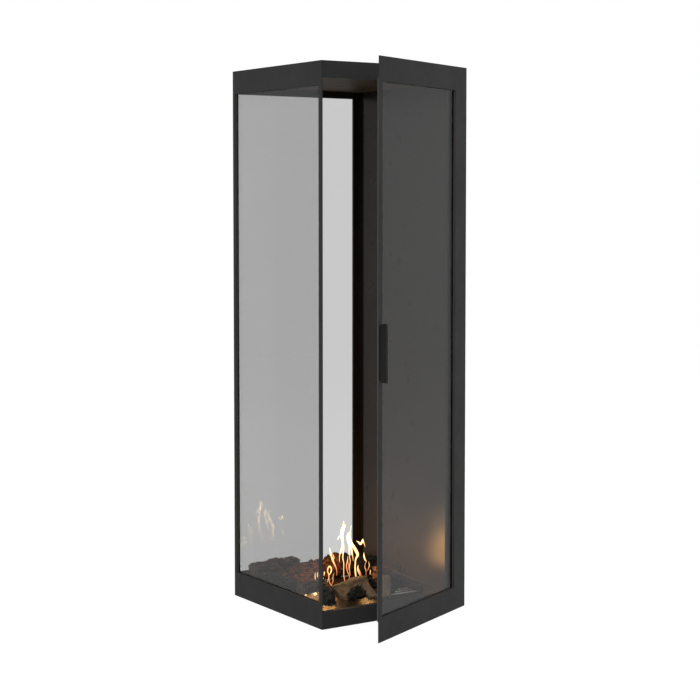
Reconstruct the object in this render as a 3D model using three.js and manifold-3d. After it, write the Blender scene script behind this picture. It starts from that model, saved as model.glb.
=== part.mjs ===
// Bioethanol room divider fireplace: a tall glazed case on a square footprint.
// Millimetres, +Z up. The origin is the centre of the footprint, on the floor.
// The door faces -Y, the glazed end faces -X, the solid end wall is at +X.
import * as THREE from 'three';
import { mergeVertices } from 'three/addons/utils/BufferGeometryUtils.js';
import Module from 'manifold-3d';

const wasm = await Module();
wasm.setup();

// Driving dimensions of the case
const BODY_WIDTH = 500;
const BODY_DEPTH = 500;
const BODY_HEIGHT = 1590;
const SHEET = 2;
const END_WALL_THICKNESS = 54;
const TOP_BAND_HEIGHT = 68;
const BOTTOM_BAND_HEIGHT = 72;
const HEADER_HEIGHT = 48;
const SILL_HEIGHT = 49;
const FLANGE_DEPTH = 16;
const FAR_POST_WIDTH = 16;
const FIT = 0.3;
const CUT_OVERRUN = 1;

// Glazing
const GLASS_THICKNESS = 4;
const GLASS_RECESS = 6;
const GLASS_LAP = 10;
const NEAR_EDGE_LAP = 6;
const BEAD_THICKNESS = 2;
const JAMB_DEPTH = 32;
const JAMB_FACE_WIDTH = 16;

// Door and its pivots
const DOOR_REST_DEGREES = 25;
const DOOR_SHUT_GAP = 0.4;
const DOOR_FLOOR_GAP = 1.5;
const DOOR_RAIL_HEIGHT = 68;
const HINGE_STILE_WIDTH = 68;
const FREE_STILE_WIDTH = 18;
const DOOR_GLASS_SETBACK = 8;
const DOOR_FLANGE_DEPTH = 11;
const DOOR_FLANGE_GAP = 2;
const PIVOT_INSET = 9;
const CASING_SETBACK = 21;
const INNER_RETURN_SETBACK = 50;
const PIN_RADIUS = 3;
const PIN_HEAD_RADIUS = 5;
const PIN_HEAD_HEIGHT = 3;
const PIN_REACH = 38;
const PIVOT_BLOCK_WIDTH = 21;
const PIVOT_BLOCK_HEIGHT = 44;
const BRACKET_THICKNESS = 4;
const BRACKET_NOSE_RADIUS = 6;
const BRACKET_WIDTH = 36;
const BRACKET_FLANGE_HEIGHT = 30;
const BRACKET_FLANGE_THICKNESS = 2;

// Handle
const HANDLE_LENGTH = 160;
const HANDLE_WIDTH = 10.5;
const HANDLE_DEPTH = 15;
const HANDLE_CENTRE_HEIGHT = 793;
const HANDLE_NECK_LENGTH = 150;
const HANDLE_NECK_WIDTH = 5;
const HANDLE_NECK_DEPTH = 6;

// Hearth, burner and air grille
const RAIL_WIDTH = 30;
const RAIL_INSET = 130;
const BURNER_SHIFT = -35;
const BURNER_Y = -5;
const TANK_LENGTH = 224;
const TANK_WIDTH = 100;
const TANK_TOP_HEIGHT = 40;
const WOOL_HEIGHT = 31;
const FLAME_SLOT_LENGTH = 186;
const FLAME_SLOT_WIDTH = 36;
const COVER_END_GAP = 10;
const LID_LENGTH = 200;
const LID_WIDTH = 56;
const LID_LIP_HEIGHT = 1.8;
const LID_END_GAP = 16;
const GUIDE_THICKNESS = 2;
const GUIDE_LIP = 3;
const HEARTH_OPENING_WIDTH = 66;
const HEARTH_OPENING_LENGTH = 214;
const GRILLE_WALL_GAP = 48;
const GRILLE_FRONT_GAP = 35.6;
const GRILLE_LENGTH = 112;
const GRILLE_WIDTH = 62;
const GRILLE_THICKNESS = 1.5;
const GRILLE_SLOT_LENGTHS = [92, 64, 38];
const GRILLE_SLOT_WIDTH = 6;
const GRILLE_SLOT_PITCH = 22;
const GRILLE_SEAT_LENGTH = 98;
const GRILLE_SEAT_WIDTH = 52;

// Heat outlet in the top
const VENT_LENGTH = 300;
const VENT_WIDTH = 8;
const VENT_PITCH = 22;
const VENT_ROWS = 5;

// Ceramic logs: their radius is a share of the clear width or depth, whichever gives less,
// their length and section are shares of the radius, their rings shares of the section
const LOG_WIDTH_SHARE = 0.0771;
const LOG_DEPTH_SHARE = 0.0683;
const LOG_LENGTH_SHARE = 7.8125;
const LOG_RINGS = 6;
const ROUND_SECTION_SHARES = [
  [1.0, 0.05], [0.78, 0.62], [0.3, 0.98], [-0.34, 0.9], [-0.82, 0.56],
  [-1.02, -0.04], [-0.72, -0.66], [-0.24, -0.92], [0.36, -0.96], [0.84, -0.5],
];
const BLOCK_SECTION_SHARES = [
  [1.0, -0.9], [1.04, -0.2], [0.98, 0.5], [0.8, 0.9], [0.2, 0.98],
  [-0.45, 0.9], [-0.92, 0.72], [-1.02, 0.0], [-0.98, -0.88], [0.0, -0.95],
];
const SPLIT_SECTION_SHARES = [
  [1.05, -0.5], [0.94, 0.06], [0.5, 0.52], [0.02, 0.86], [-0.24, 0.8],
  [-0.62, 0.26], [-0.98, -0.3], [-1.02, -0.56], [-0.2, -0.68], [0.6, -0.64],
];
const SLAB_SECTION_SHARES = [
  [1.1, -0.3], [1.04, 0.24], [0.62, 0.46], [0.06, 0.42], [-0.5, 0.5],
  [-1.02, 0.26], [-1.12, -0.22], [-0.6, -0.42], [0.1, -0.46], [0.7, -0.44],
];
const RING_SWELL_SHARES = [0.86, 1.02, 0.95, 1.05, 0.98, 1.03, 0.88];
const RING_DRIFT_SHARES = [0.0, 0.07, -0.03, 0.05, -0.05, 0.04, 0.0];

// Finishes
const finish = (color, roughness, metalness) =>
  new THREE.MeshStandardMaterial({ color, roughness, metalness });
const coatedSteel = finish(0x363636, 0.55, 0.2);
const linerSteel = finish(0x26221f, 0.35, 0.3);
const blackSteel = finish(0x141312, 0.6, 0.2);
const stainless = finish(0xb8b6b0, 0.35, 0.9);
const glass = finish(0x9aa0a0, 0.05, 0.0);
const sealFibre = finish(0x151515, 0.95, 0.0);
const boardFibre = finish(0xcfc6b4, 0.95, 0.0);
const woolFibre = finish(0xe6e2d8, 1.0, 0.0);
const barkClay = finish(0x4f4138, 0.95, 0.0);
const redClay = finish(0x7a4630, 0.95, 0.0);
const splitClay = finish(0x8a7353, 0.95, 0.0);
const charredClay = finish(0x1d1b19, 0.95, 0.0);

// Planes that several pieces share
const left = -BODY_WIDTH / 2;
const right = BODY_WIDTH / 2;
const front = -BODY_DEPTH / 2;
const back = BODY_DEPTH / 2;
const bodyFront = front + SHEET + DOOR_SHUT_GAP;
const wallX = right - END_WALL_THICKNESS;
const paneEndX = wallX - JAMB_FACE_WIDTH;
const wallFront = front + CASING_SETBACK;
const bandTopZ = BODY_HEIGHT - TOP_BAND_HEIGHT;
const ceilingZ = BODY_HEIGHT - HEADER_HEIGHT;
const caseTopZ = BODY_HEIGHT - SHEET - FIT;
const caseBottomZ = SHEET + FIT;
const glassOuter = GLASS_RECESS;
const glassInner = GLASS_RECESS + GLASS_THICKNESS;
const glassBottomZ = BOTTOM_BAND_HEIGHT - GLASS_LAP;
const glassTopZ = bandTopZ + GLASS_LAP;
const nearPostInnerY = front + FREE_STILE_WIDTH + FIT;
const farPostInnerX = left + FAR_POST_WIDTH;
const farPostInnerY = back - FAR_POST_WIDTH;
const hingeX = right - PIVOT_INSET;
const hingeY = front + PIVOT_INSET;
const headerEndX = hingeX + BRACKET_NOSE_RADIUS - BRACKET_WIDTH - FIT;
const beadFar = glassInner + FIT + BEAD_THICKNESS;

// Clear inside of the firebox, and what stands in it
const clearLeft = left + beadFar + FIT;
const clearRight = paneEndX - SHEET - FIT;
const clearFront = bodyFront + FLANGE_DEPTH + FIT;
const clearBack = back - beadFar - FIT;
const clearWidth = clearRight - clearLeft;
const clearDepth = clearBack - clearFront;
const fireboxX = (left + paneEndX) / 2;
const burnerX = fireboxX + BURNER_SHIFT;
const grilleX = paneEndX - GRILLE_WALL_GAP - GRILLE_LENGTH / 2;
const grilleY = bodyFront + FLANGE_DEPTH + GRILLE_FRONT_GAP + GRILLE_WIDTH / 2;
const logRadius = Math.min(clearWidth * LOG_WIDTH_SHARE, clearDepth * LOG_DEPTH_SHARE);

const model = new THREE.Group();

function add(parent, name, geometry, material) {
  const mesh = new THREE.Mesh(geometry, material);
  mesh.name = name;
  parent.add(mesh);
  return mesh;
}

// A rectangular piece from its lowest corner to its highest one
function box(parent, name, material, low, high) {
  const size = high.map((value, axis) => value - low[axis]);
  const mesh = add(parent, name, new THREE.BoxGeometry(...size), material);
  mesh.position.set(...low.map((value, axis) => value + size[axis] / 2));
  return mesh;
}

function outline(points) {
  return new THREE.Shape(points.map(([u, v]) => new THREE.Vector2(u, v)));
}

function rectangle(u0, u1, v0, v1, shape = new THREE.Shape()) {
  shape.moveTo(u0, v0).lineTo(u1, v0).lineTo(u1, v1).lineTo(u0, v1).closePath();
  return shape;
}

function rectangleHole(u0, u1, v0, v1) {
  return rectangle(u0, u1, v0, v1, new THREE.Path());
}

// Extrudes a shape between two levels of one axis. The shape's own axes are
// (y, z) for an extrusion along x, (z, x) along y and (x, y) along z.
const AXIS_TURNS = {
  x: new THREE.Matrix4().makeBasis(
    new THREE.Vector3(0, 1, 0), new THREE.Vector3(0, 0, 1), new THREE.Vector3(1, 0, 0)),
  y: new THREE.Matrix4().makeBasis(
    new THREE.Vector3(0, 0, 1), new THREE.Vector3(1, 0, 0), new THREE.Vector3(0, 1, 0)),
  z: new THREE.Matrix4(),
};

function extrude(shape, axis, from, to, curveSegments = 6) {
  const settings = { depth: to - from, bevelEnabled: false, curveSegments };
  const geometry = new THREE.ExtrudeGeometry(shape, settings);
  geometry.translate(0, 0, from);
  return geometry.applyMatrix4(AXIS_TURNS[axis]);
}

// Solids for cutting and joining
function toSolid(geometry) {
  const plain = geometry.clone();
  plain.deleteAttribute('normal');
  plain.deleteAttribute('uv');
  const merged = mergeVertices(plain);
  const vertProperties = Float32Array.from(merged.attributes.position.array);
  const triVerts = Uint32Array.from(merged.index.array);
  return new wasm.Manifold(new wasm.Mesh({ numProp: 3, vertProperties, triVerts }));
}

function toGeometry(solid) {
  const cut = solid.getMesh();
  const geometry = new THREE.BufferGeometry();
  geometry.setAttribute('position', new THREE.BufferAttribute(cut.vertProperties, 3));
  geometry.setIndex(new THREE.BufferAttribute(cut.triVerts, 1));
  geometry.computeVertexNormals();
  return geometry;
}

function blockGeometry(low, high) {
  const size = high.map((value, axis) => value - low[axis]);
  const geometry = new THREE.BoxGeometry(...size);
  return geometry.translate(...low.map((value, axis) => value + size[axis] / 2));
}

function cylinderGeometry(radius, x, y, z0, z1, sides = 16) {
  const geometry = new THREE.CylinderGeometry(radius, radius, z1 - z0, sides);
  geometry.rotateX(Math.PI / 2);
  return geometry.translate(x, y, (z0 + z1) / 2);
}

// Base and top plates: the footprint with a notch for the door's pivot corner
function footprint() {
  return outline([
    [left, bodyFront], [headerEndX, bodyFront], [headerEndX, wallFront - FIT],
    [right, wallFront - FIT], [right, back], [left, back],
  ]);
}

function buildPlates() {
  add(model, 'base_plate', extrude(footprint(), 'z', 0, SHEET), coatedSteel);
  const top = footprint();
  for (let row = 0; row < VENT_ROWS; row += 1) {
    const y = (row - (VENT_ROWS - 1) / 2) * VENT_PITCH;
    top.holes.push(rectangleHole(
      fireboxX - VENT_LENGTH / 2, fireboxX + VENT_LENGTH / 2,
      y - VENT_WIDTH / 2, y + VENT_WIDTH / 2));
  }
  add(model, 'top_cover', extrude(top, 'z', BODY_HEIGHT - SHEET, BODY_HEIGHT), coatedSteel);
}

// Bands and posts that frame the fixed panes
function buildFrame() {
  const levels = [
    ['base_band', caseBottomZ, BOTTOM_BAND_HEIGHT],
    ['header_band', bandTopZ, caseTopZ],
  ];
  for (const [name, z0, z1] of levels) {
    box(model, `${name}_end`, coatedSteel, [left, bodyFront, z0], [left + SHEET, back, z1]);
    box(model, `${name}_back`, coatedSteel,
      [left + SHEET + FIT, back - SHEET, z0], [paneEndX - FIT, back, z1]);
  }
  const postZ0 = BOTTOM_BAND_HEIGHT + FIT;
  const postZ1 = bandTopZ - FIT;
  box(model, 'near_post', coatedSteel,
    [left, bodyFront, postZ0], [left + SHEET, nearPostInnerY, postZ1]);
  const angle = outline([
    [left, farPostInnerY], [left + SHEET, farPostInnerY], [left + SHEET, back - SHEET],
    [farPostInnerX, back - SHEET], [farPostInnerX, back], [left, back],
  ]);
  add(model, 'far_corner_post', extrude(angle, 'z', postZ0, postZ1), coatedSteel);
}

// Front header and sill: an upright face with a flange that turns inwards
function buildFront() {
  const flangeY = bodyFront + FLANGE_DEPTH;
  const skinY = bodyFront + SHEET;
  const header = [
    [bodyFront, ceilingZ], [flangeY, ceilingZ], [flangeY, ceilingZ + SHEET],
    [skinY, ceilingZ + SHEET], [skinY, caseTopZ], [bodyFront, caseTopZ],
  ];
  const sill = [
    [bodyFront, caseBottomZ], [skinY, caseBottomZ], [skinY, SILL_HEIGHT - SHEET],
    [flangeY, SILL_HEIGHT - SHEET], [flangeY, SILL_HEIGHT], [bodyFront, SILL_HEIGHT],
  ];
  for (const [name, profile] of [['front_header', header], ['front_sill', sill]]) {
    add(model, name,
      extrude(outline(profile), 'x', left + SHEET + FIT, headerEndX - FIT), coatedSteel);
  }
}

// Solid end wall: folded casing, insulation board, liner and the jamb of the back pane
function buildEndWall() {
  const casing = outline([
    [wallX, wallFront], [right, wallFront], [right, back], [paneEndX, back],
    [paneEndX, back - SHEET], [right - SHEET, back - SHEET],
    [right - SHEET, wallFront + SHEET], [wallX, wallFront + SHEET],
  ]);
  add(model, 'end_wall_casing', extrude(casing, 'z', caseBottomZ, caseTopZ), coatedSteel);
  box(model, 'end_wall_insulation', boardFibre,
    [wallX + FIT, wallFront + SHEET + FIT, SILL_HEIGHT + FIT],
    [right - SHEET - FIT, back - SHEET - FIT, ceilingZ - FIT]);
  const jambY = back - glassInner - FIT;
  box(model, 'end_wall_liner', linerSteel,
    [wallX - SHEET, wallFront + SHEET + FIT, SILL_HEIGHT + FIT],
    [wallX, jambY - JAMB_DEPTH - FIT, ceilingZ - FIT]);
  const jamb = outline([
    [wallX - SHEET, jambY - JAMB_DEPTH], [wallX, jambY - JAMB_DEPTH], [wallX, jambY],
    [paneEndX - SHEET, jambY], [paneEndX - SHEET, jambY - SHEET], [wallX - SHEET, jambY - SHEET],
  ]);
  add(model, 'back_pane_jamb',
    extrude(jamb, 'z', SILL_HEIGHT + FIT, ceilingZ - FIT), blackSteel);
}

// A flat seal: a frame round the visible glass, as wide as the glass laps the metal
function sealRing(axis, from, to, outer, inner) {
  const ring = rectangle(...outer);
  ring.holes.push(rectangleHole(...inner));
  return extrude(ring, axis, from, to);
}

function buildFixedGlass() {
  const nearEdgeY = nearPostInnerY - NEAR_EDGE_LAP;
  box(model, 'end_glass', glass,
    [left + glassOuter, nearEdgeY, glassBottomZ],
    [left + glassInner, back - glassOuter, glassTopZ]);
  box(model, 'back_glass', glass,
    [left + glassInner + FIT, back - glassInner, glassBottomZ],
    [paneEndX + GLASS_LAP, back - glassOuter, glassTopZ]);
  add(model, 'end_glass_seal', sealRing('x', left + SHEET + FIT, left + glassOuter - FIT,
    [nearPostInnerY - GLASS_LAP, back - glassOuter, glassBottomZ, glassTopZ],
    [nearPostInnerY, farPostInnerY, BOTTOM_BAND_HEIGHT, bandTopZ]), sealFibre);
  add(model, 'back_glass_seal', sealRing('y', back - glassOuter + FIT, back - SHEET - FIT,
    [glassBottomZ, glassTopZ, farPostInnerX - GLASS_LAP, paneEndX + GLASS_LAP],
    [BOTTOM_BAND_HEIGHT, bandTopZ, farPostInnerX, paneEndX]), sealFibre);
  const levels = [
    ['lower', SILL_HEIGHT + FIT, BOTTOM_BAND_HEIGHT],
    ['upper', bandTopZ, ceilingZ - FIT],
  ];
  for (const [name, z0, z1] of levels) {
    box(model, `end_glass_${name}_bead`, blackSteel,
      [left + glassInner + FIT, nearPostInnerY, z0],
      [left + beadFar, back - beadFar - FIT, z1]);
    box(model, `back_glass_${name}_bead`, blackSteel,
      [left + glassInner + FIT, back - beadFar, z0],
      [paneEndX - SHEET - FIT, back - glassInner - FIT, z1]);
  }
}

function buildCeiling() {
  box(model, 'ceiling_panel', linerSteel,
    [left + SHEET + FIT, bodyFront + FLANGE_DEPTH + FIT, ceilingZ],
    [wallX - FIT, back - SHEET - FIT, ceilingZ + SHEET]);
}

// Hearth plate with its burner opening and the seat of the air grille
function buildHearth() {
  const plate = rectangle(left + SHEET + FIT, wallX - FIT,
    bodyFront + FLANGE_DEPTH + FIT, back - SHEET - FIT);
  plate.holes.push(rectangleHole(
    burnerX - HEARTH_OPENING_LENGTH / 2, burnerX + HEARTH_OPENING_LENGTH / 2,
    BURNER_Y - HEARTH_OPENING_WIDTH / 2, BURNER_Y + HEARTH_OPENING_WIDTH / 2));
  plate.holes.push(rectangleHole(
    grilleX - GRILLE_SEAT_LENGTH / 2, grilleX + GRILLE_SEAT_LENGTH / 2,
    grilleY - GRILLE_SEAT_WIDTH / 2, grilleY + GRILLE_SEAT_WIDTH / 2));
  add(model, 'hearth_plate',
    extrude(plate, 'z', SILL_HEIGHT - SHEET, SILL_HEIGHT), linerSteel);

  const grille = rectangle(-GRILLE_LENGTH / 2, GRILLE_LENGTH / 2,
    -GRILLE_WIDTH / 2, GRILLE_WIDTH / 2);
  const slotEnd = GRILLE_SLOT_LENGTHS[0] / 2;
  GRILLE_SLOT_LENGTHS.forEach((slotLength, slot) => {
    const y = (slot - (GRILLE_SLOT_LENGTHS.length - 1) / 2) * GRILLE_SLOT_PITCH;
    grille.holes.push(rectangleHole(slotEnd - slotLength, slotEnd,
      y - GRILLE_SLOT_WIDTH / 2, y + GRILLE_SLOT_WIDTH / 2));
  });
  const plateMesh = add(model, 'air_grille', extrude(grille, 'z', 0, GRILLE_THICKNESS),
    blackSteel);
  plateMesh.position.set(grilleX, grilleY, SILL_HEIGHT + FIT);

  const rails = [
    ['hearth_rail_front', front + RAIL_INSET], ['hearth_rail_back', back - RAIL_INSET],
  ];
  for (const [name, y] of rails) {
    const railTop = SILL_HEIGHT - SHEET - FIT;
    const half = RAIL_WIDTH / 2;
    const channel = outline([
      [-half, caseBottomZ], [-half + SHEET, caseBottomZ], [-half + SHEET, railTop - SHEET],
      [half - SHEET, railTop - SHEET], [half - SHEET, caseBottomZ], [half, caseBottomZ],
      [half, railTop], [-half, railTop],
    ]);
    const rail = add(model, name,
      extrude(channel, 'x', left + SHEET + FIT, wallX - FIT), blackSteel);
    rail.position.y = y;
  }
}

// Burner: fuel tank, absorbent wool, slotted cover with guides, sliding lid
function buildBurner() {
  const burner = new THREE.Group();
  burner.position.set(burnerX, BURNER_Y, 0);
  model.add(burner);
  const halfLength = TANK_LENGTH / 2;
  const halfWidth = TANK_WIDTH / 2;
  const floorZ = caseBottomZ + SHEET;
  const shell = toSolid(blockGeometry(
    [-halfLength, -halfWidth, caseBottomZ], [halfLength, halfWidth, TANK_TOP_HEIGHT]));
  const hollow = toSolid(blockGeometry(
    [-halfLength + SHEET, -halfWidth + SHEET, floorZ],
    [halfLength - SHEET, halfWidth - SHEET, TANK_TOP_HEIGHT + CUT_OVERRUN]));
  add(burner, 'burner_tank', toGeometry(shell.subtract(hollow)), stainless);
  const inset = SHEET + FIT;
  box(burner, 'burner_wool', woolFibre,
    [-halfLength + inset, -halfWidth + inset, floorZ + FIT],
    [halfLength - inset, halfWidth - inset, floorZ + FIT + WOOL_HEIGHT]);

  const coverZ0 = TANK_TOP_HEIGHT + FIT;
  const coverZ1 = coverZ0 + SHEET;
  const lidZ0 = coverZ1 + FIT;
  const lidZ1 = lidZ0 + SHEET;
  const guideInner = LID_WIDTH / 2 + FIT;
  const guideOuter = guideInner + GUIDE_THICKNESS;
  const lipInner = guideInner - GUIDE_LIP;
  const lipZ = lidZ1 + FIT;
  const guideTop = SILL_HEIGHT - SHEET - FIT;
  const profile = outline([
    [-halfWidth, coverZ0], [halfWidth, coverZ0], [halfWidth, coverZ1],
    [guideOuter, coverZ1], [guideOuter, guideTop], [lipInner, guideTop], [lipInner, lipZ],
    [guideInner, lipZ], [guideInner, coverZ1], [-guideInner, coverZ1], [-guideInner, lipZ],
    [-lipInner, lipZ], [-lipInner, guideTop], [-guideOuter, guideTop],
    [-guideOuter, coverZ1], [-halfWidth, coverZ1],
  ]);
  const cover = toSolid(extrude(profile, 'x', -halfLength, paneEndX - COVER_END_GAP - burnerX));
  const slot = toSolid(blockGeometry(
    [-FLAME_SLOT_LENGTH / 2, -FLAME_SLOT_WIDTH / 2, coverZ0 - CUT_OVERRUN],
    [FLAME_SLOT_LENGTH / 2, FLAME_SLOT_WIDTH / 2, coverZ1 + CUT_OVERRUN]));
  add(burner, 'burner_cover', toGeometry(cover.subtract(slot)), stainless);

  const lid = outline([
    [-LID_LENGTH / 2, lidZ0], [LID_LENGTH / 2, lidZ0], [LID_LENGTH / 2, lidZ1],
    [-LID_LENGTH / 2 + SHEET, lidZ1], [-LID_LENGTH / 2 + SHEET, lidZ1 + LID_LIP_HEIGHT],
    [-LID_LENGTH / 2, lidZ1 + LID_LIP_HEIGHT],
  ].map(([x, z]) => [z, x]));
  const half = LID_WIDTH / 2;
  const lipHalf = lipInner - FIT;
  const sheet = toSolid(extrude(lid, 'y', -half, half));
  const trims = [[-half - CUT_OVERRUN, -lipHalf], [lipHalf, half + CUT_OVERRUN]];
  let trimmed = sheet;
  for (const [y0, y1] of trims) {
    trimmed = trimmed.subtract(toSolid(blockGeometry(
      [-LID_LENGTH / 2 - CUT_OVERRUN, y0, lidZ1],
      [-LID_LENGTH / 2 + SHEET + CUT_OVERRUN, y1, lidZ1 + LID_LIP_HEIGHT + CUT_OVERRUN])));
  }
  const lidMesh = add(burner, 'burner_lid', toGeometry(trimmed), stainless);
  lidMesh.position.x = right - SHEET - LID_END_GAP - LID_LENGTH / 2 - burnerX;
}

// Door leaf, modelled shut round its pivot axis and then turned to its rest angle
function buildDoor() {
  const door = new THREE.Group();
  door.position.set(hingeX, hingeY, 0);
  door.rotation.z = THREE.MathUtils.degToRad(DOOR_REST_DEGREES);
  model.add(door);
  const faceY = -PIVOT_INSET;
  const skinY = faceY + SHEET;
  const flangeY = skinY + DOOR_FLANGE_DEPTH;
  const hingeEdge = PIVOT_INSET;
  const freeEdge = PIVOT_INSET - BODY_WIDTH;
  const stileX = hingeEdge - HINGE_STILE_WIDTH;
  const freeX = freeEdge + FREE_STILE_WIDTH;
  const railZ = DOOR_RAIL_HEIGHT;
  const railTopZ = BODY_HEIGHT - DOOR_RAIL_HEIGHT;
  const flangeZ0 = SILL_HEIGHT + DOOR_FLANGE_GAP;
  const flangeZ1 = ceilingZ - DOOR_FLANGE_GAP;
  const glassY0 = faceY + glassOuter;
  const glassY1 = faceY + glassInner;
  const glassX0 = freeEdge + DOOR_GLASS_SETBACK;
  const glassX1 = stileX + GLASS_LAP;
  const glassZ0 = railZ - GLASS_LAP;
  const glassZ1 = railTopZ + GLASS_LAP;

  box(door, 'door_free_stile', coatedSteel,
    [freeEdge, faceY, DOOR_FLOOR_GAP], [freeX, skinY, BODY_HEIGHT]);
  const returnX = hingeEdge - INNER_RETURN_SETBACK;
  const skin = toSolid(blockGeometry(
    [stileX, faceY, DOOR_FLOOR_GAP], [hingeEdge, skinY, BODY_HEIGHT]));
  const channel = toSolid(extrude(outline([
    [returnX, faceY], [hingeEdge, faceY], [hingeEdge, flangeY], [hingeEdge - SHEET, flangeY],
    [hingeEdge - SHEET, skinY], [returnX + SHEET, skinY], [returnX + SHEET, flangeY],
    [returnX, flangeY],
  ]), 'z', flangeZ0, flangeZ1));
  add(door, 'door_hinge_stile', toGeometry(skin.add(channel)), coatedSteel);

  const rails = [
    ['door_bottom_rail', DOOR_FLOOR_GAP, railZ, flangeZ0, flangeZ0 + SHEET],
    ['door_top_rail', railTopZ, BODY_HEIGHT, flangeZ1 - SHEET, flangeZ1],
  ];
  for (const [name, z0, z1, f0, f1] of rails) {
    const profile = outline([
      [faceY, z0], [skinY, z0], [skinY, f0], [flangeY, f0], [flangeY, f1], [skinY, f1],
      [skinY, z1], [faceY, z1],
    ]);
    add(door, name, extrude(profile, 'x', freeX + FIT, stileX - FIT), coatedSteel);
  }

  box(door, 'door_glass', glass, [glassX0, glassY0, glassZ0], [glassX1, glassY1, glassZ1]);
  add(door, 'door_glass_seal', sealRing('y', skinY + FIT, glassY0 - FIT,
    [glassZ0, glassZ1, glassX0, glassX1], [railZ, railTopZ, freeX, stileX]), sealFibre);
  const beadY0 = glassY1 + FIT;
  const beadY1 = beadY0 + BEAD_THICKNESS;
  box(door, 'door_lower_bead', blackSteel,
    [freeX + FIT, beadY0, flangeZ0 + SHEET + FIT], [stileX - FIT, beadY1, railZ]);
  box(door, 'door_upper_bead', blackSteel,
    [freeX + FIT, beadY0, railTopZ], [stileX - FIT, beadY1, flangeZ1 - SHEET - FIT]);

  buildHandle(door, freeEdge, faceY);
  buildPivots(door, flangeZ0, flangeZ1, skinY, flangeY);
}

function buildHandle(door, freeEdge, faceY) {
  const neckY = faceY - FIT;
  const barY = neckY - HANDLE_NECK_DEPTH - FIT;
  const neckX = freeEdge + HANDLE_WIDTH / 2;
  box(door, 'handle_neck', blackSteel,
    [neckX - HANDLE_NECK_WIDTH / 2, neckY - HANDLE_NECK_DEPTH,
      HANDLE_CENTRE_HEIGHT - HANDLE_NECK_LENGTH / 2],
    [neckX + HANDLE_NECK_WIDTH / 2, neckY, HANDLE_CENTRE_HEIGHT + HANDLE_NECK_LENGTH / 2]);
  box(door, 'handle_bar', blackSteel,
    [freeEdge, barY - HANDLE_DEPTH, HANDLE_CENTRE_HEIGHT - HANDLE_LENGTH / 2],
    [freeEdge + HANDLE_WIDTH, barY, HANDLE_CENTRE_HEIGHT + HANDLE_LENGTH / 2]);
}

// Pivots: a block in the leaf turns on a pin held by a bracket on the end wall
function buildPivots(door, flangeZ0, flangeZ1, skinY, flangeY) {
  const blockX0 = PIVOT_INSET - SHEET - FIT - PIVOT_BLOCK_WIDTH;
  const blockX1 = PIVOT_INSET - SHEET - FIT;
  const levels = [
    ['upper', flangeZ1 - PIVOT_BLOCK_HEIGHT, flangeZ1, ceilingZ + BRACKET_THICKNESS, 1],
    ['lower', flangeZ0, flangeZ0 + PIVOT_BLOCK_HEIGHT, SILL_HEIGHT - BRACKET_THICKNESS, -1],
  ];
  const bracketGap = CASING_SETBACK - PIVOT_INSET - FIT;
  for (const [name, z0, z1, plateNear, away] of levels) {
    const block = toSolid(blockGeometry(
      [blockX0, skinY + FIT, z0], [blockX1, flangeY, z1]));
    const bore = toSolid(cylinderGeometry(
      PIN_RADIUS + FIT, 0, 0, z0 - CUT_OVERRUN, z1 + CUT_OVERRUN));
    add(door, `${name}_pivot_block`, toGeometry(block.subtract(bore)), stainless);

    const plateFar = plateNear + away * BRACKET_THICKNESS;
    const plate = new THREE.Shape();
    plate.moveTo(-BRACKET_WIDTH + BRACKET_NOSE_RADIUS, -BRACKET_NOSE_RADIUS);
    plate.lineTo(0, -BRACKET_NOSE_RADIUS);
    plate.absarc(0, 0, BRACKET_NOSE_RADIUS, -Math.PI / 2, 0, false);
    plate.lineTo(BRACKET_NOSE_RADIUS, bracketGap);
    plate.lineTo(-BRACKET_WIDTH + BRACKET_NOSE_RADIUS, bracketGap);
    plate.closePath();
    const low = Math.min(plateNear, plateFar);
    const high = Math.max(plateNear, plateFar);
    const reach = plateNear + away * BRACKET_FLANGE_HEIGHT;
    const solid = toSolid(extrude(plate, 'z', low, high));
    const flange = toSolid(blockGeometry(
      [-BRACKET_WIDTH + BRACKET_NOSE_RADIUS, bracketGap - BRACKET_FLANGE_THICKNESS,
        Math.min(plateNear, reach)],
      [BRACKET_NOSE_RADIUS, bracketGap, Math.max(plateNear, reach)]));
    const hole = toSolid(cylinderGeometry(
      PIN_RADIUS + FIT, 0, 0, low - CUT_OVERRUN, high + CUT_OVERRUN));
    const bracket = add(model, `${name}_hinge_bracket`,
      toGeometry(solid.add(flange).subtract(hole)), coatedSteel);
    bracket.position.set(hingeX, hingeY, 0);

    const headNear = plateFar + away * FIT;
    const headFar = headNear + away * PIN_HEAD_HEIGHT;
    const tip = plateNear - away * PIN_REACH;
    const shank = toSolid(cylinderGeometry(
      PIN_RADIUS, 0, 0, Math.min(tip, headFar), Math.max(tip, headFar)));
    const head = toSolid(cylinderGeometry(
      PIN_HEAD_RADIUS, 0, 0, Math.min(headNear, headFar), Math.max(headNear, headFar)));
    const pin = add(model, `${name}_hinge_pin`, toGeometry(shank.add(head)), stainless);
    pin.position.set(hingeX, hingeY, 0);
  }
}

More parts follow.
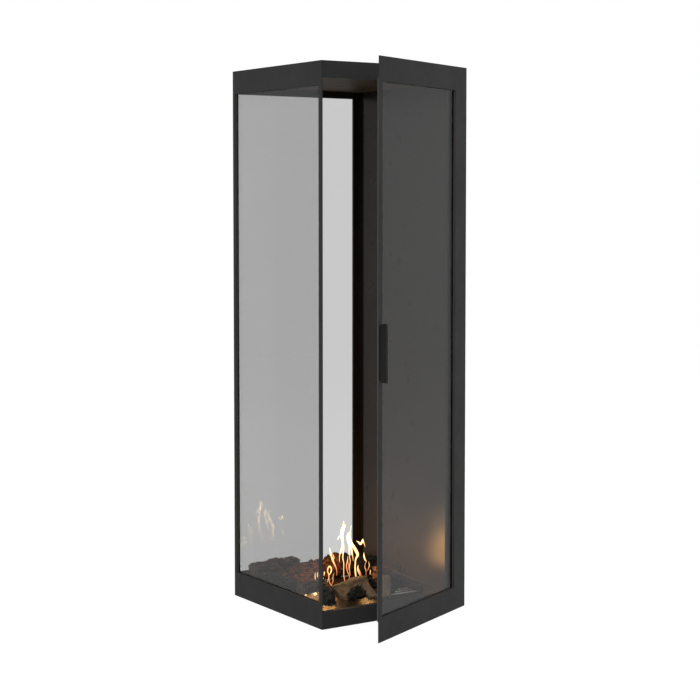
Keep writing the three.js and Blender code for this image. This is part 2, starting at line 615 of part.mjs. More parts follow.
// One log: a section drawn out along x, swelling and drifting from ring to ring.
// Every radial size grows by the clearance, so a larger copy can cut its neighbour.
function logGeometry(log, clearance) {
  const radius = logRadius * log.girthShare;
  const length = logRadius * LOG_LENGTH_SHARE * log.lengthShare + clearance * 2;
  const settings = { depth: length, steps: LOG_RINGS, bevelEnabled: false };
  const geometry = new THREE.ExtrudeGeometry(outline(log.section), settings);
  const position = geometry.attributes.position;
  for (let i = 0; i < position.count; i += 1) {
    const along = position.getZ(i) / length;
    const ring = Math.round(along * LOG_RINGS);
    const swell = radius * RING_SWELL_SHARES[ring] * (1 - log.taperShare * along);
    const drift = logRadius * RING_DRIFT_SHARES[ring];
    const y = position.getX(i);
    const z = position.getY(i);
    const reach = Math.hypot(y, z);
    const skew = radius * log.skewShare * y * (along - 1 / 2);
    position.setXYZ(i,
      (along - 1 / 2) * length + skew,
      y * swell + drift + clearance * y / reach,
      z * swell + clearance * z / reach);
  }
  geometry.rotateX(THREE.MathUtils.degToRad(log.roll));
  geometry.computeVertexNormals();
  return geometry;
}

// Where each log lies: its centre as shares of the clear inside from the middle, its
// height as a share of the log radius above the hearth, its turn and its tilt
const LOG_SHARES = [
  { name: 'log_back_bark', section: BLOCK_SECTION_SHARES, material: barkClay,
    placeShares: [-0.26, 0.429], heightShare: 0.86, girthShare: 0.9, lengthShare: 0.6,
    taperShare: 0.06, skewShare: 0.2, turn: 0, tilt: 0, roll: 0 },
  { name: 'log_middle_red', section: ROUND_SECTION_SHARES, material: redClay,
    placeShares: [-0.08, 0.175], heightShare: 1.0, girthShare: 0.98, lengthShare: 1.0,
    taperShare: -0.1, skewShare: 0.3, turn: 10, tilt: 1, roll: 75 },
  { name: 'log_back_charred', section: ROUND_SECTION_SHARES, material: charredClay,
    placeShares: [0.298, 0.175], heightShare: 0.93, girthShare: 1.0, lengthShare: 0.54,
    taperShare: 0.1, skewShare: 0.2, turn: -12, tilt: 0, roll: 140 },
  { name: 'log_left_charred', section: SPLIT_SECTION_SHARES, material: charredClay,
    placeShares: [-0.416, 0.104], heightShare: 0.58, girthShare: 0.85, lengthShare: 0.62,
    taperShare: 0.05, skewShare: 0.1, turn: 94, tilt: 0, roll: 0 },
  { name: 'log_left_brown', section: ROUND_SECTION_SHARES, material: barkClay,
    placeShares: [-0.294, -0.088], heightShare: 0.6, girthShare: 0.66, lengthShare: 0.4,
    taperShare: 0.05, skewShare: 0.2, turn: 16, tilt: 0, roll: 50 },
  { name: 'log_front_split', section: SPLIT_SECTION_SHARES, material: splitClay,
    placeShares: [-0.087, -0.245], heightShare: 0.62, girthShare: 0.97, lengthShare: 0.52,
    taperShare: 0.05, skewShare: 0.2, turn: 30, tilt: 0, roll: 0 },
  { name: 'log_front_charred', section: ROUND_SECTION_SHARES, material: charredClay,
    placeShares: [-0.325, -0.35], heightShare: 0.8, girthShare: 0.84, lengthShare: 0.36,
    taperShare: 0.05, skewShare: 0.2, turn: 60, tilt: 0, roll: 200 },
  { name: 'log_right_red', section: ROUND_SECTION_SHARES, material: redClay,
    placeShares: [0.371, -0.066], heightShare: 0.78, girthShare: 0.84, lengthShare: 0.3,
    taperShare: 0.1, skewShare: 0.2, turn: -15, tilt: 0, roll: 40 },
  { name: 'log_right_charred', section: ROUND_SECTION_SHARES, material: charredClay,
    placeShares: [0.231, -0.209], heightShare: 0.52, girthShare: 0.56, lengthShare: 0.56,
    taperShare: 0.05, skewShare: 0.2, turn: -4, tilt: 0, roll: 300 },
  { name: 'log_lean_left', section: SLAB_SECTION_SHARES, material: splitClay,
    placeShares: [-0.01, -0.322], heightShare: 0.72, girthShare: 0.48, lengthShare: 0.49,
    taperShare: 0.05, skewShare: 0.1, turn: 78, tilt: 16, roll: 0 },
  { name: 'log_lean_right', section: SLAB_SECTION_SHARES, material: splitClay,
    placeShares: [0.096, -0.399], heightShare: 0.84, girthShare: 0.44, lengthShare: 0.36,
    taperShare: 0.05, skewShare: 0.1, turn: 55, tilt: 30, roll: 0 },
  { name: 'log_lean_brown', section: SPLIT_SECTION_SHARES, material: barkClay,
    placeShares: [0.39, -0.267], heightShare: 0.72, girthShare: 0.42, lengthShare: 0.37,
    taperShare: 0.05, skewShare: 0.1, turn: 132, tilt: 20, roll: 0 },
  { name: 'log_small_charred', section: ROUND_SECTION_SHARES, material: charredClay,
    placeShares: [-0.116, -0.373], heightShare: 0.52, girthShare: 0.56, lengthShare: 0.28,
    taperShare: 0.05, skewShare: 0.2, turn: 18, tilt: 0, roll: 120 },
];

function buildLogs() {
  const grilleTop = SILL_HEIGHT + GRILLE_THICKNESS + FIT * 2;
  const taken = [
    toSolid(blockGeometry([left, front, -SILL_HEIGHT], [right, back, SILL_HEIGHT + FIT])),
    toSolid(blockGeometry(
      [grilleX - GRILLE_LENGTH / 2 - FIT, grilleY - GRILLE_WIDTH / 2 - FIT, SILL_HEIGHT],
      [grilleX + GRILLE_LENGTH / 2 + FIT, grilleY + GRILLE_WIDTH / 2 + FIT, grilleTop])),
  ];
  for (const log of LOG_SHARES) {
    const mesh = new THREE.Mesh(logGeometry(log, 0), log.material);
    mesh.name = log.name;
    mesh.position.set(
      (clearLeft + clearRight) / 2 + log.placeShares[0] * clearWidth,
      (clearFront + clearBack) / 2 + log.placeShares[1] * clearDepth,
      SILL_HEIGHT + log.heightShare * logRadius);
    mesh.rotation.set(0, THREE.MathUtils.degToRad(-log.tilt),
      THREE.MathUtils.degToRad(log.turn), 'ZYX');
    mesh.updateMatrix();
    let solid = toSolid(mesh.geometry.clone().applyMatrix4(mesh.matrix));
    for (const other of taken) {
      solid = solid.subtract(other);
    }
    mesh.geometry = toGeometry(solid).applyMatrix4(mesh.matrix.clone().invert());
    mesh.geometry.computeVertexNormals();
    taken.push(toSolid(logGeometry(log, FIT).applyMatrix4(mesh.matrix)));
    model.add(mesh);
  }
}

buildPlates();
buildFrame();
buildFront();
buildEndWall();
buildFixedGlass();
buildCeiling();
buildHearth();
buildBurner();
buildDoor();
buildLogs();

export default model;
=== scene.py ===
# %% [markdown]
# # A glazed room divider fireplace, dressed over its CAD frame
#
# The CAD model already has every sheet, pane and hinge at its true size. What it lacks is
# looks: the powder coat, the tint of the glass, the bark and char of the ceramic logs, and
# the fire. Each cell below adds one of them and says why it is made that way.

# %% Load the frame
import math
import bmesh
import bpy
from mathutils import Matrix, Vector, noise


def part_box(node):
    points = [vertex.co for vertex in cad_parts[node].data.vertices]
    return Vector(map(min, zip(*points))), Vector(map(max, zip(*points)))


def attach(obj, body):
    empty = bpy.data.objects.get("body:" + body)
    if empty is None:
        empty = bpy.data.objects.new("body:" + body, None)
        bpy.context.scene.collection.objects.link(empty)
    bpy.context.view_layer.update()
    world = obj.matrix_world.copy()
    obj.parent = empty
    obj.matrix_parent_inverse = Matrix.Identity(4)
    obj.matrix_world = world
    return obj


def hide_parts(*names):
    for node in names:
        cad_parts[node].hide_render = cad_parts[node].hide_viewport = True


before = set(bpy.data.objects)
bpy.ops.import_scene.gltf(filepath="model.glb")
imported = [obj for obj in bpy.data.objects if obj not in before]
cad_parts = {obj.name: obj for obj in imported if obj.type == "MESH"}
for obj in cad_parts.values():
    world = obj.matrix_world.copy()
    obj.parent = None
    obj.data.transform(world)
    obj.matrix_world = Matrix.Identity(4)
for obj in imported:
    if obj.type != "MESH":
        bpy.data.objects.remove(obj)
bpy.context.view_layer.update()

# %% [markdown]
# ## Camera
#
# A tall object is photographed from chest height with a long lens, so that its upright
# edges stay nearly parallel. The camera could be tilted down to centre the object, or kept
# level with the lens shifted. A small tilt and a small shift together give the same
# picture, and leave the shift small enough for the views from other sides.

# %% Camera
IMAGE_SIZE = 700
FOCAL_PIXELS = 1662.6
SENSOR_WIDTH = 36  # millimetres
LENS_SHIFT = -0.0714  # of the picture's width
CAMERA_PLACE = (-2.7158, -4.1379, 1.2024)
TILT_DOWN, TURN = 3.407, -33.345  # degrees
FARTHEST_SEEN = 60
camera_data = bpy.data.cameras.new("chest_height_view")
camera_data.sensor_width = SENSOR_WIDTH
camera_data.lens = FOCAL_PIXELS / IMAGE_SIZE * SENSOR_WIDTH
camera_data.shift_y = LENS_SHIFT
camera_data.clip_end = FARTHEST_SEEN
camera = bpy.data.objects.new("chest_height_view", camera_data)
camera.location = CAMERA_PLACE
camera.rotation_euler = (math.radians(90 - TILT_DOWN), 0, math.radians(TURN))
bpy.context.scene.collection.objects.link(camera)
bpy.context.scene.camera = camera
print("lens", round(camera_data.lens, 2), "mm")

# %% [markdown]
# ## Helpers
#
# Every finish is a small tree of nodes. It could be wired node by node, but a few helpers
# keep the trees readable: one puts a node down with its settings, and the others stand for
# the small groups that every finish needs, such as a noise or a mix of two colours.

# %% Node helpers
def put(tree, kind, sockets=None, **settings):
    """Puts a node in a tree. Settings are its own, and sockets names inputs, each with a
    number, a colour, or the output that feeds it."""
    node = tree.nodes.new(kind)
    for name, value in settings.items():
        setattr(node, name, value)
    for name, value in (sockets or {}).items():
        if isinstance(value, bpy.types.NodeSocket):
            tree.links.new(value, node.inputs[name])
        else:
            node.inputs[name].default_value = value
    return node


def start_finish(name):
    """A material with an empty tree but for its output."""
    finish = bpy.data.materials.new(name)
    finish.use_nodes = True
    finish.node_tree.nodes.clear()
    return finish, finish.node_tree


def close_finish(tree, surface):
    """Gives a material its surface."""
    put(tree, "ShaderNodeOutputMaterial", {"Surface": surface})


def grain(tree, place, scale, detail=3.0, roughness=0.5, stretch=None):
    """A noise of that many grains per metre. A stretch makes it longer one way."""
    if stretch:
        place = put(tree, "ShaderNodeMapping", {"Vector": place, "Scale": stretch}).outputs[0]
    return put(tree, "ShaderNodeTexNoise", {
        "Vector": place, "Scale": scale, "Detail": detail, "Roughness": roughness,
    }).outputs["Fac"]


def spread(tree, value, low, high, to_low=0.0, to_high=1.0):
    """Turns the part of a value from low to high into the range from to_low to to_high."""
    return put(tree, "ShaderNodeMapRange", {
        "Value": value, "From Min": low, "From Max": high, "To Min": to_low, "To Max": to_high,
    }).outputs[0]


def blend_colours(tree, share, first, second):
    """Goes from the first colour to the second as the share goes from 0 to 1."""
    mix = put(tree, "ShaderNodeMix", data_type="RGBA")
    for socket, value in ((mix.inputs[0], share), (mix.inputs[6], first), (mix.inputs[7], second)):
        if isinstance(value, bpy.types.NodeSocket):
            tree.links.new(value, socket)
        else:
            socket.default_value = value
    return mix.outputs[2]


def sums(tree, kind, first, second):
    """One sum of two values, such as ADD or MULTIPLY."""
    return put(tree, "ShaderNodeMath", {0: first, 1: second}, operation=kind).outputs[0]


def grey(value):
    return (value, value, value, 1.0)


print("node helpers: put, start_finish, close_finish, grain, spread, blend_colours, sums, grey")

# %% [markdown]
# Every new piece starts as a bmesh, and every lamp as a data block. Two steps always come
# last for a piece: its faces are turned outwards and counted for holes, and it becomes an
# object at the origin, so that object coordinates are the same as the frame's.

# %% Shape and lamp helpers
def close_shape(shape):
    """Turns the faces outwards, shades them smooth and returns the number of open edges."""
    bmesh.ops.recalc_face_normals(shape, faces=shape.faces)
    for face in shape.faces:
        face.smooth = True
    return sum(1 for e in shape.edges if not e.is_manifold)


def to_object(name, shape):
    """Makes an object of the scene from a bmesh, and frees the bmesh."""
    mesh = bpy.data.meshes.new(name)
    shape.to_mesh(mesh)
    shape.free()
    piece = bpy.data.objects.new(name, mesh)
    bpy.context.scene.collection.objects.link(piece)
    return piece


def hang_lamp(name, kind, place, power):
    """A lamp at a place in metres, with its power in watts."""
    lamp_data = bpy.data.lights.new(name, kind)
    lamp_data.energy = power
    lamp = bpy.data.objects.new(name, lamp_data)
    lamp.location = place
    bpy.context.scene.collection.objects.link(lamp)
    return lamp


print("shape helpers: close_shape, to_object, and hang_lamp for lamps")

# %% [markdown]
# ## Studio
#
# The object stands in a white studio. Its glass and semi-gloss panels show the white
# around them, so the white is what mirrors and panes see as well as the camera. The lamps
# and the world light at a plain level, and the floor keeps a faint shadow.

# %% World and floor
WHITE = grey(1.0)
WORLD_LEVEL = 0.6
world = bpy.data.worlds.new("white_studio")
bpy.context.scene.world = world
world.use_nodes = True
world.node_tree.nodes.clear()


def seen_directly(tree):
    """One where a ray comes from the camera, a mirror or through glass, or else zero."""
    path = put(tree, "ShaderNodeLightPath")
    direct = sums(tree, "MAXIMUM", path.outputs["Is Camera Ray"], path.outputs["Is Glossy Ray"])
    return sums(tree, "MAXIMUM", direct, path.outputs["Is Transmission Ray"])


tree = world.node_tree
soft = put(tree, "ShaderNodeBackground", {"Color": WHITE, "Strength": WORLD_LEVEL})
shown = put(tree, "ShaderNodeBackground", {"Color": WHITE, "Strength": 1.0})
chosen = put(tree, "ShaderNodeMixShader", {
    0: seen_directly(tree), 1: soft.outputs[0], 2: shown.outputs[0]})
put(tree, "ShaderNodeOutputWorld", {"Surface": chosen.outputs[0]})

FLOOR_SIZE = 14.0
FLOOR_DROP = 0.0006  # keeps the floor clear of the underside
FLOOR_TONE, SHADOW_TONE, PAPER_LEVEL = 0.8, 0.16, 0.9
floor_finish, tree = start_finish("pale_floor")
bare = put(tree, "ShaderNodeBsdfDiffuse", {"Color": grey(FLOOR_TONE)})
shadow_film = put(tree, "ShaderNodeBsdfDiffuse", {"Color": grey(SHADOW_TONE)})
white_paper = put(tree, "ShaderNodeEmission", {"Color": WHITE, "Strength": PAPER_LEVEL})
paper = put(tree, "ShaderNodeAddShader", {0: shadow_film.outputs[0], 1: white_paper.outputs[0]})
chosen = put(tree, "ShaderNodeMixShader", {
    0: seen_directly(tree), 1: bare.outputs[0], 2: paper.outputs[0]})
close_finish(tree, chosen.outputs[0])
sheet = bmesh.new()
bmesh.ops.create_grid(sheet, x_segments=1, y_segments=1, size=FLOOR_SIZE / 2)
bmesh.ops.translate(sheet, vec=(0, 0, -FLOOR_DROP), verts=sheet.verts)
floor = to_object("studio_floor", sheet)
floor.data.materials.append(floor_finish)
print("floor", FLOOR_SIZE, "m wide")

# %% [markdown]
# Three large soft lamps stand round the object, as in a product studio: a key at the left,
# a fill at the right and one behind. Mirrors don't see them, because hard white squares in
# the panes would hide what lies behind.

# %% Lamps
LAMP_AIM = Vector((0, 0, 0.8))
# place in metres, edge length in metres, watts
LAMPS = {
    "key_softbox": ((-3.2, -3.4, 3.4), 2.6, 120),
    "fill_softbox": ((3.4, -3.0, 2.4), 2.6, 60),
    "rear_softbox": ((-1.0, 4.2, 3.0), 2.6, 60),
}
for name, (place, size, power) in LAMPS.items():
    lamp = hang_lamp(name, "AREA", place, power)
    lamp.data.size = size
    lamp.rotation_euler = (LAMP_AIM - Vector(place)).to_track_quat("-Z", "Y").to_euler()
    lamp.visible_glossy = False
bpy.context.scene.view_settings.view_transform = "Standard"
print(len(LAMPS), "lamps")

# %% [markdown]
# ## Powder coat
#
# The case is folded sheet with a fine matt anthracite powder coat. Close up, such a coat
# is slightly pebbled, a little uneven in gloss, and rubbed lighter on its sharp edges. A
# noise of a grain per millimetre or so bumps the surface, a coarse one shifts the gloss,
# and the Bevel node finds the edges, which plain sheet with few faces has no points for.

# %% Coats
COLOUR_DRIFT = 0.12  # how far the tint wanders to each side
EDGE_RADIUS = 0.0012  # how far from an edge the coat is rubbed


def coat(name, colour, edge, gloss, grain_depth, shine):
    """A sprayed coat: colour, edge colour, lowest and highest roughness, depth of its
    pebbling in metres, and how much it shines."""
    finish, tree = start_finish(name)
    place = put(tree, "ShaderNodeTexCoord").outputs["Object"]
    pebbles = grain(tree, place, 1100, 2.0)
    cloud = grain(tree, place, 5, 4.0, 0.6)
    smears = grain(tree, place, 38, 3.0)
    dark = tuple(c * (1 - COLOUR_DRIFT) for c in colour) + (1.0,)
    light = tuple(c * (1 + COLOUR_DRIFT) for c in colour) + (1.0,)
    paint = blend_colours(tree, spread(tree, cloud, 0.35, 0.65), dark, light)
    speckle = spread(tree, pebbles, 0.62, 0.75)
    paint = blend_colours(tree, sums(tree, "MULTIPLY", speckle, 0.25), paint, edge + (1.0,))
    rounded = put(tree, "ShaderNodeBevel", {"Radius": EDGE_RADIUS}, samples=4).outputs[0]
    flat = put(tree, "ShaderNodeNewGeometry").outputs["True Normal"]
    facing = put(tree, "ShaderNodeVectorMath", {0: rounded, 1: flat}, operation="DOT_PRODUCT")
    rubbed = spread(tree, facing.outputs["Value"], 0.985, 0.86)
    rubbed = sums(tree, "MULTIPLY", rubbed, spread(tree, smears, 0.4, 0.65, 0.15, 0.6))
    paint = blend_colours(tree, rubbed, paint, edge + (1.0,))
    bumps = put(tree, "ShaderNodeBump", {
        "Height": pebbles, "Strength": 0.25, "Distance": grain_depth, "Normal": rounded})
    shader = put(tree, "ShaderNodeBsdfPrincipled", {
        "Base Color": paint, "Normal": bumps.outputs[0],
        "Roughness": spread(tree, smears, 0.3, 0.7, *gloss), "Specular IOR Level": shine})
    close_finish(tree, shader.outputs[0])
    return finish


finishes = {
    "coated_steel": coat("anthracite_coat", (0.0238, 0.0238, 0.024), (0.05, 0.05, 0.051),
                         (0.48, 0.56), 0.0001, 0.06),
    "liner_steel": coat("liner_coat", (0.016, 0.0125, 0.0098), (0.03, 0.024, 0.02),
                        (0.27, 0.32), 0.00004, 0.15),
    "hearth_steel": coat("hearth_coat", (0.010, 0.009, 0.008), (0.03, 0.026, 0.022),
                         (0.17, 0.21), 0.00001, 0.30),
    # Painted warm light and reflection: the ceiling coat is lighter and browner than the case's and
    # barely shines, standing for the fire's glow on it
    "ceiling_steel": coat("ceiling_firelit_coat", (0.046, 0.031, 0.020), (0.06, 0.044, 0.032),
                          (0.48, 0.55), 0.00004, 0.015),
    "black_steel": coat("black_coat", (0.011, 0.011, 0.0108), (0.022, 0.022, 0.022),
                        (0.5, 0.6), 0.0001, 0.06),
    # Painted shade: the jamb behind the back pane is nearly black and barely shines, standing for
    # the shade in the narrow space between liner and pane
    "jamb_steel": coat("jamb_shade_coat", (0.0060, 0.0046, 0.0034), (0.012, 0.010, 0.008),
                       (0.5, 0.6), 0.0001, 0.02),
}
print("coats", sorted(finishes))

# %% [markdown]
# ## Stainless steel
#
# The burner and its sliding lid are brushed stainless. Brushing is a noise stretched a
# ninety times along one axis, which drives both the gloss and a very shallow bump. The
# cover and the lid over the fire are blackened by soot, and the louvres still polished.

# %% Stainless steel
def brushed(name, dark, light, gloss):
    """Metal brushed along x: two tints and the lowest and highest roughness."""
    finish, tree = start_finish(name)
    place = put(tree, "ShaderNodeTexCoord").outputs["Object"]
    strokes = grain(tree, place, 1.0, 3.0, 0.6, stretch=(20, 1800, 1800))
    tint = grain(tree, place, 14, 3.0)
    metal = blend_colours(tree, spread(tree, tint, 0.35, 0.65), dark, light)
    scratches = put(tree, "ShaderNodeBump", {
        "Height": strokes, "Strength": 0.3, "Distance": 0.0001})
    shader = put(tree, "ShaderNodeBsdfPrincipled", {
        "Base Color": metal, "Metallic": 1.0, "Normal": scratches.outputs[0],
        "Roughness": spread(tree, strokes, 0.3, 0.7, *gloss)})
    close_finish(tree, shader.outputs[0])
    return finish


finishes["stainless_steel"] = brushed(
    "brushed_stainless", (0.42, 0.40, 0.37, 1), (0.56, 0.55, 0.53, 1), (0.24, 0.42))
finishes["sooted_stainless"] = brushed(
    "sooted_stainless", (0.040, 0.035, 0.030, 1), (0.085, 0.075, 0.065, 1), (0.38, 0.5))
louvre_finish = brushed(
    "polished_louvre", (0.82, 0.81, 0.79, 1), (0.93, 0.93, 0.92, 1), (0.28, 0.36))
print("metals: brushed, sooted and polished")

# %% [markdown]
# ## Tinted glass
#
# The panes are lightly grey toughened glass: one pane passes 60 % of the light, and it
# mirrors the white studio more the flatter it is looked at. A solid glass shader would
# keep the lamps out of the firebox, so each face of the pane is a clear shader with the
# root of that tint, mixed with a mirror by how far the face is turned away. The polished
# edge of tinted glass looks nearly black, because light leaves it only after a long way.

# %% Tinted glass
PANE_TINT = 0.775  # the root of 60 %
MIRROR_SQUARE_ON, MIRROR_FLAT = 0.020, 0.30  # share that one face mirrors


def pane_finish(name, across):
    """Glass for a pane whose faces point along across, in the object's own axes."""
    finish, tree = start_finish(name)
    coordinates = put(tree, "ShaderNodeTexCoord")
    smears = grain(tree, coordinates.outputs["Object"], 7, 4.0, 0.65)
    facing = put(tree, "ShaderNodeLayerWeight", {"Blend": 0.5}).outputs["Facing"]
    mirror = sums(tree, "POWER", facing, 4.0)
    mirror = spread(tree, mirror, 0.0, 1.0, MIRROR_SQUARE_ON, MIRROR_FLAT)
    clear = put(tree, "ShaderNodeBsdfTransparent", {
        "Color": (PANE_TINT, PANE_TINT * 1.002, PANE_TINT, 1.0)})
    shine = put(tree, "ShaderNodeBsdfGlossy", {
        "Color": grey(0.98), "Roughness": spread(tree, smears, 0.4, 0.7, 0.0, 0.01)})
    face = put(tree, "ShaderNodeMixShader", {
        0: mirror, 1: clear.outputs[0], 2: shine.outputs[0]})
    edge_colour = blend_colours(tree, smears, (0.020, 0.020, 0.018, 1), (0.040, 0.038, 0.035, 1))
    edge = put(tree, "ShaderNodeBsdfPrincipled", {"Base Color": edge_colour, "Roughness": 0.25})
    along = put(tree, "ShaderNodeVectorMath", {0: coordinates.outputs["Normal"], 1: across},
                operation="DOT_PRODUCT").outputs["Value"]
    is_edge = sums(tree, "LESS_THAN", sums(tree, "ABSOLUTE", along, 0.0), 0.7)
    surface = put(tree, "ShaderNodeMixShader", {
        0: is_edge, 1: face.outputs[0], 2: edge.outputs[0]})
    close_finish(tree, surface.outputs[0])
    return finish


DOOR_TURN = math.radians(25)  # the door stands open at rest
panes = {
    "end_glass": pane_finish("end_pane_glass", (1, 0, 0)),
    "back_glass": pane_finish("back_pane_glass", (0, 1, 0)),
    "door_glass": pane_finish("door_pane_glass", (math.sin(DOOR_TURN), -math.cos(DOOR_TURN), 0)),
}
print("panes", sorted(panes))

# %% [markdown]
# ## Seals, board and wool
#
# Behind the pane edges lies black woven glass-fibre tape, in the wall a rigid mineral
# board, and in the burner white ceramic wool that soaks up the fuel. Two wave patterns
# across each other weave the tape; noise gives the board and the wool their fibres.

# %% Seals, board and wool
finish, tree = start_finish("woven_tape")
place = put(tree, "ShaderNodeTexCoord").outputs["Object"]
warp = put(tree, "ShaderNodeTexWave", {"Vector": place, "Scale": 260, "Distortion": 0.6},
           bands_direction="Z").outputs["Fac"]
weft = put(tree, "ShaderNodeTexWave", {"Vector": place, "Scale": 260, "Distortion": 0.6},
           bands_direction="DIAGONAL").outputs["Fac"]
weave = sums(tree, "MULTIPLY", warp, weft)
bumps = put(tree, "ShaderNodeBump", {"Height": weave, "Strength": 0.8, "Distance": 0.0004})
shader = put(tree, "ShaderNodeBsdfPrincipled", {
    "Base Color": blend_colours(tree, weave, (0.045, 0.040, 0.035, 1), (0.085, 0.077, 0.068, 1)),
    "Normal": bumps.outputs[0],
    "Roughness": spread(tree, weave, 0, 1, 0.95, 0.8), "Specular IOR Level": 0.15})
close_finish(tree, shader.outputs[0])
finishes["seal_fibre"] = finish


def fibre(name, dark, light, scale, depth):
    """A mat of short fibres: two tints, hairs per metre and depth of its fuzz in metres."""
    finish, tree = start_finish(name)
    place = put(tree, "ShaderNodeTexCoord").outputs["Object"]
    hairs = grain(tree, place, scale, 8.0, 0.7, stretch=(1, 1, 2.5))
    clumps = grain(tree, place, scale / 12, 3.0)
    shade = sums(tree, "MULTIPLY", spread(tree, hairs, 0.3, 0.7),
                 spread(tree, clumps, 0.3, 0.7, 0.6, 1))
    bumps = put(tree, "ShaderNodeBump", {"Height": hairs, "Strength": 0.7, "Distance": depth})
    shader = put(tree, "ShaderNodeBsdfPrincipled", {
        "Base Color": blend_colours(tree, shade, dark, light), "Normal": bumps.outputs[0],
        "Roughness": spread(tree, clumps, 0.3, 0.7, 0.85, 1.0), "Specular IOR Level": 0.1})
    close_finish(tree, shader.outputs[0])
    return finish


finishes["board_fibre"] = fibre(
    "mineral_board", (0.42, 0.37, 0.28, 1), (0.6, 0.55, 0.45, 1), 300, 0.0005)
finishes["wool_fibre"] = fibre(
    "ceramic_wool", (0.5, 0.48, 0.44, 1), (0.8, 0.78, 0.74, 1), 420, 0.001)
print("fibres: tape, board and wool")

# %% [markdown]
# ## Dress the CAD
#
# Each CAD node carries the name of its material slot, so most finishes go on by slot. The panes
# have a finish each, and a few sheets near the fire differ from the rest of theirs: the hearth is
# glossier, the burner cover and lid are sooted, the ceiling carries painted warm light, and the
# jamb behind the back pane painted shade.

# %% Give each CAD node its finish
own_finish = {
    "ceiling_panel": "ceiling_steel", "back_pane_jamb": "jamb_steel",
    "hearth_plate": "hearth_steel", "burner_cover": "sooted_stainless",
    "burner_lid": "sooted_stainless",
}
for name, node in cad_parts.items():
    slot = node.data.materials[0].name
    if name in panes:
        node.material_slots[0].material = panes[name]
    elif name in own_finish:
        node.material_slots[0].material = finishes[own_finish[name]]
    elif slot in finishes:
        node.material_slots[0].material = finishes[slot]
print(len(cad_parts), "nodes dressed")

# %% [markdown]
# ## Ceramic logs
#
# The logs are cast ceramic fibre, painted as bark, split wood or charcoal. A log could be
# sculpted by hand, or be a plain cylinder with a bump map, which looks flat from the side.
# Here each is a tube of rings, drawn out along its length and closed with insets, whose
# every point is then pushed out or in by a relief: furrows along bark, blocks on char,
# fibres on a split face. The relief is real geometry, so its edge shows it too.

# %% Log sections and places
HEARTH_TOP = 0.0493
CLEARANCE = 0.0003  # between a log and the grille
GRILLE_BOX = [Vector(corner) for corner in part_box("air_grille")]
# corners of each section in log radii, y and z, round its middle
SECTIONS = {
    "round": [(1.0, 0.05), (0.78, 0.62), (0.3, 0.98), (-0.34, 0.9), (-0.82, 0.56),
              (-1.02, -0.04), (-0.72, -0.66), (-0.24, -0.92), (0.36, -0.96), (0.84, -0.5)],
    "sawn": [(1.0, -0.9), (1.03, 0.0), (1.0, 0.84), (0.9, 0.95), (0.2, 0.98),
             (-0.45, 0.95), (-0.95, 0.82), (-1.02, 0.0), (-0.98, -0.88), (0.0, -0.95)],
    "wedge": [(1.08, 0.36), (0.56, 0.62), (0.2, 0.76), (-0.5, 0.92), (-0.88, 0.86), (-1.0, 0.3),
              (-0.98, -0.6), (-0.5, -0.68), (0.0, -0.68), (0.42, -0.52), (0.66, -0.18),
              (1.02, 0.05)],
    "stump": [(1.05, 0.0), (0.9, 0.6), (0.45, 0.82), (0.0, 0.8), (-0.2, 0.45), (-0.34, 0.0),
              (-0.5, -0.5), (-0.62, -0.92), (0.2, -0.95), (0.95, -0.85)],
    "split": [(1.05, -0.5), (0.94, 0.06), (0.5, 0.52), (0.02, 0.86), (-0.24, 0.8),
              (-0.62, 0.26), (-0.98, -0.3), (-1.02, -0.56), (-0.2, -0.68), (0.6, -0.64)],
    "slab": [(0.9, -0.3), (0.85, 0.24), (0.55, 0.46), (0.06, 0.42), (-0.5, 0.5),
             (-1.02, 0.26), (-1.12, -0.22), (-0.6, -0.42), (0.1, -0.46), (0.7, -0.44)],
}
# along each log: how thick it is, and how far its middle strays sideways in metres
SWELL = [0.97, 1.03, 0.95, 1.05, 0.98, 1.03, 0.96]
DRIFT = [0.0, 0.00192, -0.00064, 0.00128, -0.00128, 0.00096, 0.0]
